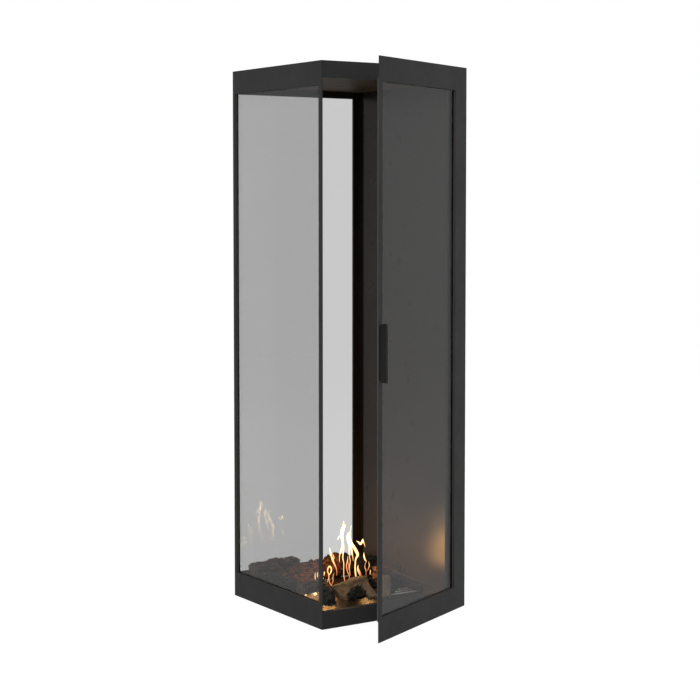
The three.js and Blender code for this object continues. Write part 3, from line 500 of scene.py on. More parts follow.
# name: section, centre in metres, length, radius, taper, skew, turn, tilt, roll, relief,
# and how broken the two ends are, from 0, sawn, to 1
LOGS = {
    "log_back_bark": (
        "sawn", (-0.1378, 0.204, 0.0765), 0.150, 0.0288, 0.0, 0.0, 0, 0, 0, "bark", (0.03, 1.0)),
    "log_middle_red": (
        "round", (-0.063, 0.085, 0.081), 0.250, 0.0314, -0.1, 0.3, 10, 1, 75, "red", (0.8, 0.8)),
    "log_back_charred": (
        "round", (0.094, 0.085, 0.0788), 0.135, 0.032, 0.1, 0.2, -12, 0, 140, "char", (0.8, 0.6)),
    "log_left_charred": (
        "split", (-0.2027, 0.052, 0.0676), 0.155, 0.0272, 0.05, 0.1, 94, 0, 0, "char", (0.4, 0.6)),
    "log_left_brown": (
        "round", (-0.152, -0.038, 0.0682), 0.100, 0.0211, 0.05, 0.2, 16, 0, 50, "bark", (0.1, 0.5)),
    "log_front_split": (
        "wedge", (-0.066, -0.112, 0.0688), 0.130, 0.031, 0.05, 0.1, 30, 0, 0, "split", (0.08, 0.6)),
    "log_front_charred": (
        "stump", (-0.1649, -0.161, 0.0746), 0.090, 0.0269, 0.05, 0.2, 60, 0, 0, "char", (0.3, 0.5)),
    "log_right_red": (
        "round", (0.124, -0.028, 0.074), 0.075, 0.0269, 0.1, 0.2, -15, 0, 40, "red", (0.7, 0.7)),
    "log_right_charred": (
        "round", (0.066, -0.095, 0.0656), 0.140, 0.0179, 0.05, 0.2, -4, 0, 300, "char", (0.5, 0.5)),
    "log_lean_left": (
        "slab", (-0.034, -0.148, 0.072), 0.122, 0.0154, 0.05, 0.1, 78, 16, 0, "split", (0.3, 0.5)),
    "log_lean_right": (
        "slab", (0.010, -0.184, 0.0759), 0.090, 0.0141, 0.05, 0.1, 55, 30, 0, "split", (0.3, 0.4)),
    "log_lean_brown": (
        "split", (0.1318, -0.122, 0.072), 0.0925, 0.0134, 0.05, 0.1, 132, 20, 0, "bark",
        (0.5, 0.5)),
    "log_small_charred": (
        "round", (-0.078, -0.172, 0.0656), 0.070, 0.0179, 0.05, 0.2, 18, 0, 120, "char",
        (0.5, 0.5)),
}


def reach(section, angle):
    """How far a section's outline lies from its middle in one direction."""
    corners = SECTIONS[section]
    ray = Vector((math.cos(angle), math.sin(angle)))
    for a, b in zip(corners, corners[1:] + corners[:1]):
        start, side = Vector(a), Vector(b) - Vector(a)
        across = ray.x * side.y - ray.y * side.x
        if abs(across) < 1e-9:
            continue
        far = (start.x * side.y - start.y * side.x) / across
        share = (start.x * ray.y - start.y * ray.x) / across
        if far > 0 and -1e-6 <= share <= 1 + 1e-6:
            return far
    return 1.0


# how many radians of each outline are averaged to round its corners
SOFTNESS = {
    "round": 0.10, "sawn": 0.03, "wedge": 0.03, "stump": 0.08, "split": 0.05, "slab": 0.03,
}
# how tall the upper half of a log stands along its length
CROWNS = {
    "log_back_bark": [0.68, 0.68, 0.90, 1.06, 1.04, 0.98, 1.12],
    "log_middle_red": [0.55, 0.82, 1.0, 1.0, 1.3, 1.35, 1.05],
    "log_back_charred": [1.3, 1.35, 1.2, 1.0, 1.0, 1.0, 0.95],
    "log_small_charred": [0.9, 1.15, 1.35, 1.2, 0.8, 0.4, 0.25],
}
# how deep its relief is, where it isn't full
RELIEF_SHARES = {
    "log_back_bark": 0.8, "log_front_split": 0.45, "log_lean_left": 0.4, "log_lean_right": 0.4,
}
STEPS = 240  # of each outline
outlines = {}
for section, softness in SOFTNESS.items():
    sharp = [reach(section, 2 * math.pi * i / STEPS) for i in range(STEPS)]
    width = max(1, round(softness / (2 * math.pi / STEPS)))
    outlines[section] = [
        sum(sharp[(i + k) % STEPS] for k in range(-width, width + 1)) / (2 * width + 1)
        for i in range(STEPS)]


def soft_reach(section, angle):
    """The reach of a rounded outline, between its steps."""
    place = angle / (2 * math.pi) * STEPS
    low = math.floor(place)
    share = place - low
    line = outlines[section]
    return line[low % STEPS] * (1 - share) + line[(low + 1) % STEPS] * share


def along_rings(values, along):
    """Where a list of values, spread over a length from 0 to 1, stands at one place."""
    place = min(max(along, 0.0), 1.0) * (len(values) - 1)
    low = min(int(place), len(values) - 2)
    share = place - low
    share = share * share * (3 - 2 * share)
    return values[low] * (1 - share) + values[low + 1] * share


print("outlines of", sorted(outlines))

# %% [markdown]
# Bark, char and split wood differ in how they break up. Bark and char fall into cells with
# cracks between them, long ones along bark and square blocks on char, which is what a
# Voronoi pattern gives. A split face has strands and steps along the grain. The three are
# worked out at each point of a log, because a bump map would leave the outline smooth.

# %% Reliefs
noise.seed_set(8)  # noise_vector takes its offsets from this seed, and from the clock without it


def step_up(low, high, value):
    """Goes smoothly from 0 to 1 as the value goes from low to high."""
    share = min(max((value - low) / (high - low), 0.0), 1.0)
    return share * share * (3 - 2 * share)


def cells(spot, seed):
    """How deep in a cell a spot is, from 0 on the crack round it, and the cell's own share."""
    near, corners = noise.voronoi(spot + Vector((seed * 3.7, seed * 1.3, -seed * 2.1)))
    inside = near[1] - near[0]
    own = noise.cell(corners[0] * 7.3)
    return inside, own


def relief(kind, spot, on_split, seed):
    """Height in metres to add at a spot, and how deep in a crack it is, from 0 to 1, which later
    sets how much painted shade the crack gets. The spot is turned into millimetres, and so are the
    sizes and heights below."""
    a, y, z = spot * 1000
    wander = noise.noise_vector(Vector((a / 30, y / 22, z / 22 + seed))) * 5
    lump = noise.fractal(Vector((a / 46, y / 20, z / 20 + seed)), 0.7, 2.0, 4)
    if kind == "char":
        block = Vector(((a + wander.x) / 17, (y + wander.y) / 12, (z + wander.z) / 12))
        inside, own = cells(block, seed)
        crack = 1 - step_up(0.0, 0.2, inside)
        fine = noise.fractal(Vector((a / 3.2, y / 2.4, z / 2.4)), 0.8, 2.0, 3)
        height = -2.4 * crack + 4.4 * (own - 0.5) + 5.0 * lump + 0.4 * fine
        return height / 1000, crack
    if on_split > 0.5:
        strands = noise.fractal(Vector((a / 45, y / 3.4, z / 3.4 + seed)), 0.7, 2.0, 3)
        steps = noise.fractal(Vector((a / 60, y / 12, z / 12 + seed)), 0.8, 2.0, 2) * 2.5
        splinters = (math.floor(steps) + step_up(0.4, 0.6, steps - math.floor(steps))) / 2.5
        height = 0.9 * strands + 4.2 * splinters + 2.0 * lump
        return height / 1000, step_up(0.1, 0.5, -strands) * 0.6
    long, narrow, depth = (40, 12.5, 3.0) if kind == "bark" else (26, 13, 2.4)
    plate = Vector(((a + wander.x * 2) / long, (y + wander.y) / narrow, (z + wander.z) / narrow))
    inside, own = cells(plate, seed)
    crack = 1 - step_up(0.0, 0.22, inside)
    flake = Vector(((a + wander.y) / 14, (y + wander.z) / 6, (z + wander.x) / 6))
    inner, slab = cells(flake, seed + 9)
    flake_edge = 1 - step_up(0.0, 0.2, inner)
    flakes = noise.fractal(Vector((a / 9, y / 4, z / 4 + seed)), 0.8, 2.0, 4)
    height = (-depth * crack - 0.7 * flake_edge + 4.6 * (own - 0.5) + 1.6 * (slab - 0.5)
              + 0.8 * flakes + 6.0 * lump)
    return height / 1000, min(1.0, crack + 0.45 * flake_edge)


print("relief kinds bark, red, split, char")

# %% [markdown]
# A log starts as a circle of points at one end. Extruding it ring by ring gives a tube, and
# insets close its ends with rings of their own, so that a broken end has points to move.
# Then each point takes its place in the section, is pushed by the relief, and remembers in
# attributes what it lies on, for the paint. The hearth cuts off what would sink into it.

# %% Build a log
RING_STEP = 0.002  # metres between two rings
ROUND_STEPS = 96  # points of a ring
END_INSETS = (0.02, 0.05, 0.09, 0.12, 0.14, 0.14, 0.14, 0.12)
FULL_RELIEF_RADIUS = 0.022
CUT_END = 0.985  # a point nearer the axis than this lies on an end
FINEST_CHIP, DEEPEST_CHIP = 0.0005, 0.009


def build_log(name, section, centre, length, radius, taper, skew, turn, tilt, roll, kind,
              breaks, seed):
    """A log of one row of LOGS, and the number of its open edges."""
    log = bmesh.new()
    crown = CROWNS.get(name, [1.0, 1.0])
    relief_share = RELIEF_SHARES.get(name, 1.0) * min(1.0, radius / FULL_RELIEF_RADIUS)
    rolled = Matrix.Rotation(math.radians(roll), 4, "X")
    rings = max(12, round(length / RING_STEP))
    upright = Matrix.Rotation(math.radians(90), 4, "Y")
    bmesh.ops.create_circle(log, cap_ends=False, segments=ROUND_STEPS, radius=1.0, matrix=upright)
    edges = log.edges[:]
    ends = [edges]
    for _ in range(rings):
        drawn = bmesh.ops.extrude_edge_only(log, edges=edges)["geom"]
        edges = [e for e in drawn if isinstance(e, bmesh.types.BMEdge)
                 and all(v in drawn for v in e.verts)]
        ring = [v for v in drawn if isinstance(v, bmesh.types.BMVert)]
        bmesh.ops.translate(log, vec=(1 / rings, 0, 0), verts=ring)
    ends.append(edges)
    for loop in ends:
        cap = bmesh.ops.edgeloop_fill(log, edges=loop)["faces"]
        for width in END_INSETS:
            bmesh.ops.inset_individual(log, faces=cap, thickness=width, use_even_offset=True)
        bmesh.ops.poke(log, faces=cap)
    log_space = log.verts.layers.float_vector.new("log_space")
    marks = {kept: log.verts.layers.float.new(kept)
             for kept in ("crevice_shade", "split_face", "cut_end")}
    for v in log.verts:
        along, spoke = v.co.x, math.hypot(v.co.y, v.co.z)
        angle = math.atan2(v.co.z, v.co.y)
        swell = along_rings(SWELL, along) * (1 - taper * along)
        out = soft_reach(section, angle) * radius * swell
        unit = Vector((0, math.cos(angle), math.sin(angle)))
        flat_y, flat_z = out / radius * unit.y, out / radius * unit.z
        is_split = section in ("wedge", "slab") or (section == "split" and flat_y <= 0.42)
        spot = Vector(((along - 0.5) * length, unit.y * radius, unit.z * radius))
        height, crevice_shade = relief(kind, spot + Vector((seed, 0, 0)), float(is_split), seed)
        near_end = min(along, 1 - along) * length
        cut = 1.0 if spoke < CUT_END else 0.0
        out += height * relief_share * min(1.0, 0.6 + near_end / 0.01)
        place = spoke * out * unit
        place.y += along_rings(DRIFT, along)
        chip_spot = Vector((seed + round(along) * 5, place.y * 75, place.z * 75))
        chips = noise.fractal(chip_spot, 0.8, 2.0, 4)
        torn = breaks[round(along)]
        reach_in = step_up(0.045, 0.0, near_end)
        steps = chips * 3.5
        chips = (math.floor(steps) + step_up(0.35, 0.65, steps - math.floor(steps))) / 3.5
        broken = (FINEST_CHIP + DEEPEST_CHIP * torn) * chips * reach_in
        broken *= 1 if along > 0.5 else -1
        if cut:
            crevice_shade = step_up(0.1, 0.6, -chips) * (0.3 + 0.7 * torn)
        slant = radius * skew * flat_y * (along - 0.5)
        place.x = (along - 0.5) * length + slant + broken
        v[log_space] = Vector((
            (along - 0.5) * length + seed, spoke * out * unit.y, spoke * out * unit.z))
        # How deep a point lies in the cracks and pits, which the paint darkens as painted shade
        v[marks["crevice_shade"]] = crevice_shade
        v[marks["split_face"]] = float(is_split)
        v[marks["cut_end"]] = cut
        v.co = rolled @ place
        if v.co.z > 0:
            v.co.z *= along_rings(crown, along)
    put_down = (Matrix.Translation(centre) @ Matrix.Rotation(math.radians(turn), 4, "Z")
                @ Matrix.Rotation(math.radians(-tilt), 4, "Y"))
    bmesh.ops.transform(log, matrix=put_down, verts=log.verts)
    cut_off = bmesh.ops.bisect_plane(
        log, geom=log.verts[:] + log.edges[:] + log.faces[:], dist=1e-6,
        plane_co=(0, 0, HEARTH_TOP), plane_no=(0, 0, 1), clear_inner=True)["geom_cut"]
    rim = [e for e in cut_off if isinstance(e, bmesh.types.BMEdge)]
    if rim:
        bmesh.ops.holes_fill(log, edges=[e for e in log.edges if e.is_boundary], sides=0)
    for v in log.verts:
        over_grille = all(GRILLE_BOX[0][i] < v.co[i] < GRILLE_BOX[1][i] for i in (0, 1))
        if over_grille and v.co.z < GRILLE_BOX[1].z + CLEARANCE:
            v.co.z = GRILLE_BOX[1].z + CLEARANCE
    bmesh.ops.triangulate(log, faces=[f for f in log.faces if len(f.verts) > 4])
    open_edges = close_shape(log)
    piece = to_object(name + "_relief", log)
    piece.data.set_sharp_from_angle(angle=math.radians(55))
    return piece, open_edges


print(ROUND_STEPS, "points a ring,", RING_STEP * 1000, "mm apart")

# %% [markdown]
# ## Paint of the logs
#
# The paint follows the relief: painted shade darkens the cracks and pits nearly to black and the
# places where two logs touch, what stands up stays lighter, and there is ash on the blocks of char.
# One paint for all would be simple, but the
# photographed logs differ, so one function mixes a paint from a few colours and shares. The
# points carry their place in the log before it was turned, so the grain runs along each
# log whichever way it lies.

# %% Log paint
def mark(tree, name, output="Fac"):
    """An attribute that the points of a piece carry."""
    return put(tree, "ShaderNodeAttribute", attribute_name=name).outputs[output]


def log_paint(name, skin, wood, char_share, ash, ringed=1.0, rusty=0.0, top_soot_and_shade=0.0):
    """skin and wood are a dark and a light colour each; char_share is how much is charred, ringed
    how clearly the ends show their rings, and rusty how much of the skin has patches of the red
    one. The last share sets how dark the top of a split face is, partly sooting and partly painted
    shade."""
    finish, tree = start_finish(name)
    place = mark(tree, "log_space", "Vector")
    crevice_shade, split_face, cut_end = (mark(tree, m) for m in ("crevice_shade", "split_face", "cut_end"))
    streaks = grain(tree, place, 1.0, 5.0, 0.6, stretch=(26, 320, 320))
    patches = grain(tree, place, 34, 5.0, 0.6)
    flecks = grain(tree, place, 420, 4.0, 0.7)
    skin_colour = blend_colours(tree, spread(tree, patches, 0.32, 0.68), *skin)
    skin_colour = blend_colours(tree, spread(tree, flecks, 0.56, 0.8, 0, 0.5), skin_colour, skin[1])
    wood_colour = blend_colours(tree, spread(tree, streaks, 0.3, 0.7), *wood)
    rust = sums(tree, "MULTIPLY", spread(tree, grain(tree, place, 30, 2.0), 0.54, 0.58), rusty)
    skin_colour = blend_colours(tree, rust, skin_colour, (0.17, 0.062, 0.024, 1))
    # Darker towards the top of a split face: partly sooting, partly painted shade
    height = put(tree, "ShaderNodeSeparateXYZ", {"Vector": place}).outputs["Z"]
    soot_and_shade = sums(tree, "MULTIPLY", spread(tree, height, 0.012, 0.024),
                spread(tree, flecks, 0.35, 0.55))
    wood_colour = blend_colours(tree, sums(tree, "MULTIPLY", soot_and_shade, top_soot_and_shade), wood_colour, skin[0])
    colour = blend_colours(tree, split_face, skin_colour, wood_colour)
    distance = put(tree, "ShaderNodeMapping", {"Vector": place, "Scale": (0, 1, 1)}).outputs[0]
    rings = put(tree, "ShaderNodeTexWave", {
        "Vector": distance, "Scale": 90, "Distortion": 2.5, "Detail": 3.0, "Detail Scale": 1.4},
        wave_type="RINGS", rings_direction="X").outputs["Fac"]
    end_colour = blend_colours(tree, sums(tree, "MULTIPLY", rings, ringed), wood_colour, wood[1])
    colour = blend_colours(tree, cut_end, colour, end_colour)
    burnt = sums(tree, "ADD", patches, char_share)
    burnt = spread(tree, burnt, 0.92, 1.06)
    black = blend_colours(tree, spread(tree, flecks, 0.5, 0.78), (0.006, 0.0055, 0.005, 1), ash)
    colour = blend_colours(tree, burnt, colour, black)
    # Painted shade in the cracks and pits: the paint goes nearly black there
    colour = blend_colours(tree, sums(tree, "MULTIPLY", crevice_shade, 0.85), colour,
                           (0.004, 0.0032, 0.0026, 1))
    # Painted shade where logs touch: ambient occlusion within 3 cm darkens the paint nearly to
    # black
    open_sky = put(tree, "ShaderNodeAmbientOcclusion", {"Distance": 0.03}, samples=8).outputs["AO"]
    contact_shade = spread(tree, open_sky, 0.15, 0.75, 0.85, 0.0)
    colour = blend_colours(tree, contact_shade, colour, (0.003, 0.0025, 0.002, 1))
    bumps = put(tree, "ShaderNodeBump", {"Height": flecks, "Strength": 0.6, "Distance": 0.0006})
    ridges = put(tree, "ShaderNodeBump", {
        "Height": streaks, "Strength": 0.5, "Distance": 0.0008, "Normal": bumps.outputs[0]})
    shader = put(tree, "ShaderNodeBsdfPrincipled", {
        "Base Color": colour, "Normal": ridges.outputs[0],
        "Roughness": spread(tree, patches, 0.3, 0.7, 0.72, 0.95), "Specular IOR Level": 0.25})
    close_finish(tree, shader.outputs[0])
    return finish


paints = {
    "bark_ceramic": log_paint(
        "bark_paint", ((0.034, 0.022, 0.014, 1), (0.105, 0.072, 0.050, 1)),
        ((0.07, 0.044, 0.027, 1), (0.155, 0.105, 0.068, 1)), 0.32, (0.09, 0.08, 0.07, 1),
        rusty=0.5),
    "red_ceramic": log_paint(
        "red_bark_paint", ((0.070, 0.020, 0.007, 1), (0.230, 0.078, 0.028, 1)),
        ((0.13, 0.06, 0.03, 1), (0.27, 0.15, 0.08, 1)), 0.40, grey(0.03)),
    "split_ceramic": log_paint(
        "split_wood_paint", ((0.060, 0.040, 0.024, 1), (0.15, 0.105, 0.065, 1)),
        ((0.085, 0.060, 0.035, 1), (0.185, 0.135, 0.083, 1)), 0.26, (0.05, 0.045, 0.04, 1),
        ringed=0.25),
    "brown_split": log_paint(
        "brown_split_paint", ((0.060, 0.040, 0.024, 1), (0.15, 0.105, 0.065, 1)),
        ((0.155, 0.098, 0.050, 1), (0.32, 0.205, 0.110, 1)), 0.24, (0.05, 0.045, 0.04, 1),
        ringed=0.25, top_soot_and_shade=1.0),
    "charred_ceramic": log_paint(
        "charred_paint", ((0.011, 0.010, 0.009, 1), (0.036, 0.030, 0.025, 1)),
        ((0.02, 0.018, 0.016, 1), (0.05, 0.047, 0.044, 1)), 0.44, grey(0.042), rusty=0.35),
    "black_char": log_paint(
        "black_char_paint", ((0.006, 0.0055, 0.005, 1), (0.017, 0.014, 0.012, 1)),
        ((0.01, 0.009, 0.008, 1), (0.026, 0.024, 0.022, 1)), 0.55, grey(0.020)),
}
print("paints", sorted(paints))

# %% [markdown]
# Each log stands for its CAD node and rides on the case. Its paint goes by the node's slot,
# but for two: the split log in front is a warmer brown, and the one behind the fire black.

# %% Lay the logs
log_pieces = []
own_paint = {"log_front_split": "brown_split", "log_back_charred": "black_char"}
log_slots = {name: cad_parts[name].data.materials[0].name for name in LOGS}
for seed, (name, how) in enumerate(LOGS.items(), start=1):
    piece, open_edges = build_log(name, *how, seed)
    paint = own_paint.get(name, log_slots[name])
    piece.data.materials.append(paints[paint])
    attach(piece, "case")
    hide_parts(name)
    log_pieces.append(piece)
    print(name, len(piece.data.polygons), "faces", open_edges, "open edges")

# %% [markdown]
# ## Louvres of the air grille
#
# Over each slot of the grille stands a small bright louvre, closed in front and open
# behind, so that nothing falls in. The CAD has the slots alone. Each louvre is a grid bent
# up from its front edge, with its ends drawn down to the plate, and then given a thickness.

# %% Grille louvres
LOUVRE_DEPTH, LOUVRE_HEIGHT, LOUVRE_SHEET = 0.0050, 0.0026, 0.0004
END_STEEPNESS = 12  # power of the curve by which an end comes down
# x of both ends and the middle y of each slot in metres
GRILLE_SLOTS = [(0.030, 0.122, -0.187), (0.058, 0.122, -0.165), (0.084, 0.122, -0.143)]
louvres = bmesh.new()
for start, end, middle in GRILLE_SLOTS:
    sheet = bmesh.ops.create_grid(
        louvres, x_segments=48, y_segments=8, size=1.0,
        matrix=Matrix.Translation(((start + end) / 2, middle, GRILLE_BOX[1].z + LOUVRE_SHEET))
        @ Matrix.Diagonal(((end - start) / 2, LOUVRE_DEPTH / 2, 1, 1)))["verts"]
    for v in sheet:
        along = (v.co.x - start) / (end - start) * 2 - 1
        back = (v.co.y - middle) / LOUVRE_DEPTH + 0.5
        rise = math.sqrt(max(0.0, 1 - (1 - back) ** 2)) * (1 - abs(along) ** END_STEEPNESS)
        v.co.z += LOUVRE_HEIGHT * rise
bmesh.ops.solidify(louvres, geom=louvres.faces[:], thickness=LOUVRE_SHEET)
open_edges = close_shape(louvres)
grille_louvres = to_object("grille_louvres", louvres)
grille_louvres.data.set_sharp_from_angle(angle=math.radians(50))
grille_louvres.data.materials.append(louvre_finish)
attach(grille_louvres, "case")
print("louvres", len(grille_louvres.data.polygons), "faces", open_edges, "open edges")

# %% [markdown]
# ## Flames
#
# Bioethanol burns with thin, lively tongues, dull orange at the foot and yellow-white
# above. Smoke simulation would be slow and can't leave the scene as a mesh, so each
# tongue is a closed flattened tube drawn along a curve and run out to a point. Its light
# is added to what lies behind, and reddens and fades where the tube turns away, which
# gives the soft edge of a real flame.

# %% Draw a tongue
TONGUE_SIDES = 10
CURVE_PIECES = 6  # between two places of a tongue
SLIMNESS = 0.75  # share of the width given in the table
THINNEST = 0.0006
FLATNESS = 0.35  # half the depth of a tongue as a share of its width
SWAY = 0.004  # how far a tongue leans forward and back on its way up


def curve_through(points, pieces):
    """Points on a smooth curve through the given ones."""
    padded = [points[0] * 2 - points[1], *points, points[-1] * 2 - points[-2]]
    drawn = []
    for a, b, c, d in zip(padded, padded[1:], padded[2:], padded[3:]):
        for i in range(pieces):
            t = i / pieces
            drawn.append(0.5 * ((2 * b) + (c - a) * t + (2 * a - 5 * b + 4 * c - d) * t * t
                                + (3 * b - a - 3 * c + d) * t ** 3))
    return drawn + [points[-1]]


def build_tongue(flame, foot_to_tip, depth_place, heats, heat_layer):
    """foot_to_tip lists (x, z, width) in millimetres, heats the heat at foot and tip."""
    stations = [Vector((x / 1000, z / 1000, w / 1000)) for x, z, w in foot_to_tip]
    stations = curve_through(stations, CURVE_PIECES)
    last = None
    count = len(stations)
    for i, station in enumerate(stations):
        share = i / (count - 1)
        ahead = stations[min(i + 1, count - 1)] - stations[max(i - 1, 0)]
        tangent = Vector((ahead.x, 0, ahead.y)).normalized()
        sideways = Vector((0, 1, 0)).cross(tangent).normalized()
        width = max(station.z * SLIMNESS, THINNEST)
        y = depth_place / 1000 + SWAY * math.sin(station.y * 70 + station.x * 40)
        here = Matrix((
            (sideways.x * width / 2, 0, tangent.x, station.x),
            (0, width * FLATNESS, 0, y),
            (sideways.z * width / 2, 0, tangent.z, station.y),
            (0, 0, 0, 1)))
        if last is None:
            ring = bmesh.ops.create_circle(
                flame, cap_ends=False, segments=TONGUE_SIDES, radius=1.0, matrix=here)["verts"]
            edges = list(dict.fromkeys(e for v in ring for e in v.link_edges))
            bmesh.ops.edgeloop_fill(flame, edges=edges)
        else:
            drawn = bmesh.ops.extrude_edge_only(flame, edges=edges)["geom"]
            ring = [v for v in drawn if isinstance(v, bmesh.types.BMVert)]
            edges = [e for e in drawn if isinstance(e, bmesh.types.BMEdge)
                     and all(v in ring for v in e.verts)]
            bmesh.ops.transform(flame, matrix=here @ last.inverted(), verts=ring)
        for v in ring:
            v[heat_layer] = heats[0] + (heats[1] - heats[0]) * share
        last = here
    bmesh.ops.edgeloop_fill(flame, edges=edges)


print(TONGUE_SIDES, "sides a tongue")

# %% [markdown]
# The fire has one row per tongue. Each place was set so that the tongue stands where the
# photographed one does. Tongues that touch are one piece.

# %% Flame shapes
# name: depth in mm, heat at foot and tip, then x, z and width in mm from foot to tip
FLAMES = {
    "flame_tall": [
        (-6, (0.1, 0.9), [
            (-16, 58, 3), (-19, 69, 4), (-22, 82, 4), (-20, 99, 4), (-17, 116, 4), (-21, 135, 5),
            (-22, 155, 5), (-24, 178, 7)]),
        (-4, (0.5, 1.0), [
            (-31, 122, 2), (-31, 143, 5), (-28, 160, 8), (-24, 180, 9), (-24, 198, 14),
            (-23, 215, 12), (-19, 231, 7), (-20, 246, 1)]),
        (-3, (0.9, 1.0), [(-24, 196, 6), (-34, 199, 6), (-42, 190, 1)]),
        (-5, (0.9, 1.0), [(-20, 205, 6), (-16, 219, 6), (-12, 234, 1)]),
    ],
    "flame_right": [
        (-3, (0.6, 1.0), [
            (25, 66, 6), (26, 87, 7), (26, 106, 6), (25, 124, 7), (30, 137, 12), (25, 149, 14),
            (17, 163, 13), (9, 178, 10), (7, 200, 3), (8, 230, 1)]),
        (-7, (0.4, 1.0), [
            (15, 120, 2), (9, 142, 6), (5, 157, 9), (0, 172, 13), (-3, 187, 14), (-3, 199, 10),
            (-1, 208, 2)]),
        (2, (0.2, 0.8), [
            (7, 76, 3), (8, 96, 4), (11, 117, 4), (6, 134, 4), (3, 154, 5), (6, 172, 6)]),
    ],
    "flame_middle": [
        (-8, (0.05, 0.6), [
            (-5, 62, 3), (-3, 78, 4), (-8, 91, 4), (-9, 108, 4), (-5, 123, 4), (-6, 138, 1)]),
        (-5, (0.1, 0.4), [(-1, 95, 2), (1, 109, 3), (-5, 127, 1)]),
    ],
    "flame_left": [
        (-8, (0.1, 1.0), [
            (-48, 84, 2), (-49, 105, 4), (-53, 116, 6), (-58, 129, 8), (-62, 142, 7),
            (-66, 156, 4), (-70, 171, 1)]),
        (-6, (0.4, 0.6), [(-56, 132, 4), (-52, 139, 5), (-61, 155, 1)]),
    ],
    "flame_loop": [
        (-12, (0.1, 1.0), [
            (-64, 54, 3), (-71, 65, 4), (-75, 78, 5), (-77, 92, 6), (-82, 101, 5), (-82, 111, 5),
            (-76, 117, 6), (-70, 109, 5), (-71, 99, 4), (-75, 91, 2)]),
        (-10, (0.0, 0.5), [(-64, 54, 3), (-59, 68, 4), (-61, 81, 3), (-60, 93, 1)]),
        (-14, (0.0, 0.4), [(-83, 60, 2), (-81, 68, 3), (-77, 80, 1)]),
    ],
    "flame_small": [
        (-2, (0.1, 0.9), [(44, 68, 3), (40, 80, 7), (36, 91, 6), (37, 104, 1)]),
        (0, (0.0, 0.5), [(50, 67, 3), (45, 82, 5), (38, 97, 1)]),
    ],
    "flame_wisps": [
        (4, (0.4, 1.0), [(68, 111, 2), (62, 117, 7), (58, 128, 6), (58, 139, 1)]),
        (6, (0.0, 0.5), [(71, 58, 2), (72, 75, 3), (69, 86, 5), (65, 95, 3), (67, 112, 1)]),
        (3, (0.1, 0.7), [(74, 80, 2), (78, 96, 4), (74, 110, 1)]),
        (5, (0.2, 0.8), [(86, 66, 2), (86, 74, 4), (85, 83, 1)]),
    ],
    "flame_lick": [
        (2, (0.9, 1.0), [(34, 177, 1), (43, 171, 7), (49, 166, 9), (55, 173, 8), (57, 182, 1)]),
        (2, (0.9, 0.4), [(55, 178, 6), (61, 169, 5), (66, 154, 1)]),
    ],
    "flame_edge": [
        (-10, (0.3, 0.9), [(-91, 88, 2), (-91, 95, 5), (-92, 103, 1)]),
        (-12, (0.3, 0.9), [(-90, 66, 2), (-92, 75, 4), (-94, 83, 1)]),
        (-10, (0.5, 0.9), [(-121, 76, 1), (-121, 84, 4), (-121, 93, 4), (-121, 102, 1)]),
        (-10, (0.5, 0.9), [(-113, 84, 1), (-113, 91, 5), (-113, 97, 4), (-113, 103, 1)]),
    ],
}

print(sum(len(tongues) for tongues in FLAMES.values()), "tongues")

# %% [markdown]
# A flame gives light and hides nothing, so its light is added to what lies behind. Only
# the camera, mirrors and glass see it, because tongues this thin would light the logs with
# noise. The panes mirror so little that the mirrored fire is made stronger to show at all.

# %% Flame light
MIRRORED_GAIN = 5.5
finish, tree = start_finish("flame_light")
heat = mark(tree, "flame_heat")
facing = put(tree, "ShaderNodeLayerWeight", {"Blend": 0.5}).outputs["Facing"]
core = blend_colours(tree, heat, (1.0, 0.26, 0.08, 1), (1.0, 0.82, 0.34, 1))
rim = blend_colours(tree, heat, (1.0, 0.20, 0.04, 1), (1.0, 0.52, 0.14, 1))
colour = blend_colours(tree, spread(tree, facing, 0.2, 0.8), core, rim)
power = spread(tree, heat, 0.0, 0.9, 0.32, 1.25)
power = sums(tree, "MULTIPLY", power, spread(tree, facing, 0.2, 0.95, 1.0, 0.0))
mirrored = put(tree, "ShaderNodeLightPath").outputs["Is Glossy Ray"]
power = sums(tree, "MULTIPLY", power, spread(tree, mirrored, 0.0, 1.0, 1.0, MIRRORED_GAIN))
power = sums(tree, "MULTIPLY", power, seen_directly(tree))
ember = put(tree, "ShaderNodeEmission", {"Color": colour, "Strength": power})
clear = put(tree, "ShaderNodeBsdfTransparent")
surface = put(tree, "ShaderNodeAddShader", {0: ember.outputs[0], 1: clear.outputs[0]})
close_finish(tree, surface.outputs[0])
for name, tongues in FLAMES.items():
    flame = bmesh.new()
    heat_layer = flame.verts.layers.float.new("flame_heat")
    for depth_place, heats, foot_to_tip in tongues:
        build_tongue(flame, foot_to_tip, depth_place, heats, heat_layer)
    close_shape(flame)
    piece = to_object(name, flame)
    piece.data.materials.append(finish)
    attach(piece, "case")
    print(name, len(piece.data.polygons), "faces")

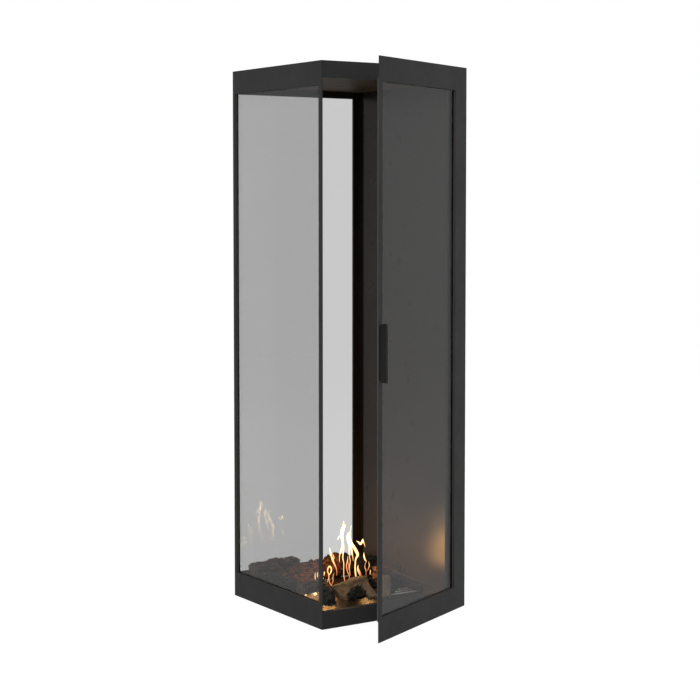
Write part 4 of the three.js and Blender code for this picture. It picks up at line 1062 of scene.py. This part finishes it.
# %% [markdown]
# ## Glow of the fire
#
# The tongues are too thin to light the logs without noise, so small warm round lamps burn
# among them. Light linking sorts them into three rows. The first lights the logs, but not
# the panes, which would mirror hard discs. The second is for the streaks in the semi-gloss
# hearth alone, and the third for the glow in the liner. The logs don't block these two
# rows, since the shadow of a log from so small a lamp would cut a hard edge into the glow.

# %% Fire lamps
FIRE_COLOUR = (1.0, 0.50, 0.16)
liner_pieces = {"end_wall_liner", "back_pane_jamb"}
hearth_pieces = {"hearth_plate"}
# row: place in metres, radius and watts of each lamp
FIRE_LAMPS = {
    "on_logs": [
        ((-0.140, -0.005, 0.070), 0.012, 0.08),
        ((-0.085, -0.005, 0.100), 0.014, 0.13),
        ((-0.028, -0.005, 0.190), 0.016, 0.28),
        ((0.005, -0.005, 0.180), 0.016, 0.20),
        ((0.025, -0.005, 0.105), 0.014, 0.04),
        ((0.073, -0.005, 0.108), 0.014, 0.005),
    ],
    "in_hearth": [
        ((-0.139, -0.005, 0.072), 0.028, 5.0),
        ((-0.074, -0.005, 0.110), 0.012, 1.3),
        ((0.067, -0.005, 0.114), 0.011, 0.48),
    ],
    "in_liner": [
        ((0.012, -0.024, 0.114), 0.065, 4.8),
        ((0.000, -0.010, 0.190), 0.060, 1.0),
    ],
}
lit = {row: bpy.data.collections.new(row + "_lit") for row in FIRE_LAMPS}
for name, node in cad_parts.items():
    if name in liner_pieces:
        lit["in_liner"].objects.link(node)
    elif name in hearth_pieces:
        lit["in_hearth"].objects.link(node)
    elif name not in panes:
        lit["on_logs"].objects.link(node)
for piece in log_pieces:
    lit["on_logs"].objects.link(piece)
for row, lamps in FIRE_LAMPS.items():
    for number, (place, radius, power) in enumerate(lamps):
        lamp = hang_lamp(f"{row}_{number}", "POINT", place, power)
        lamp.data.shadow_soft_size = radius
        lamp.data.color = FIRE_COLOUR
        lamp.light_linking.receiver_collection = lit[row]
        if row != "on_logs":
            lamp.light_linking.blocker_collection = lit[row]
print(sum(len(lamps) for lamps in FIRE_LAMPS.values()), "lamps in the fire")
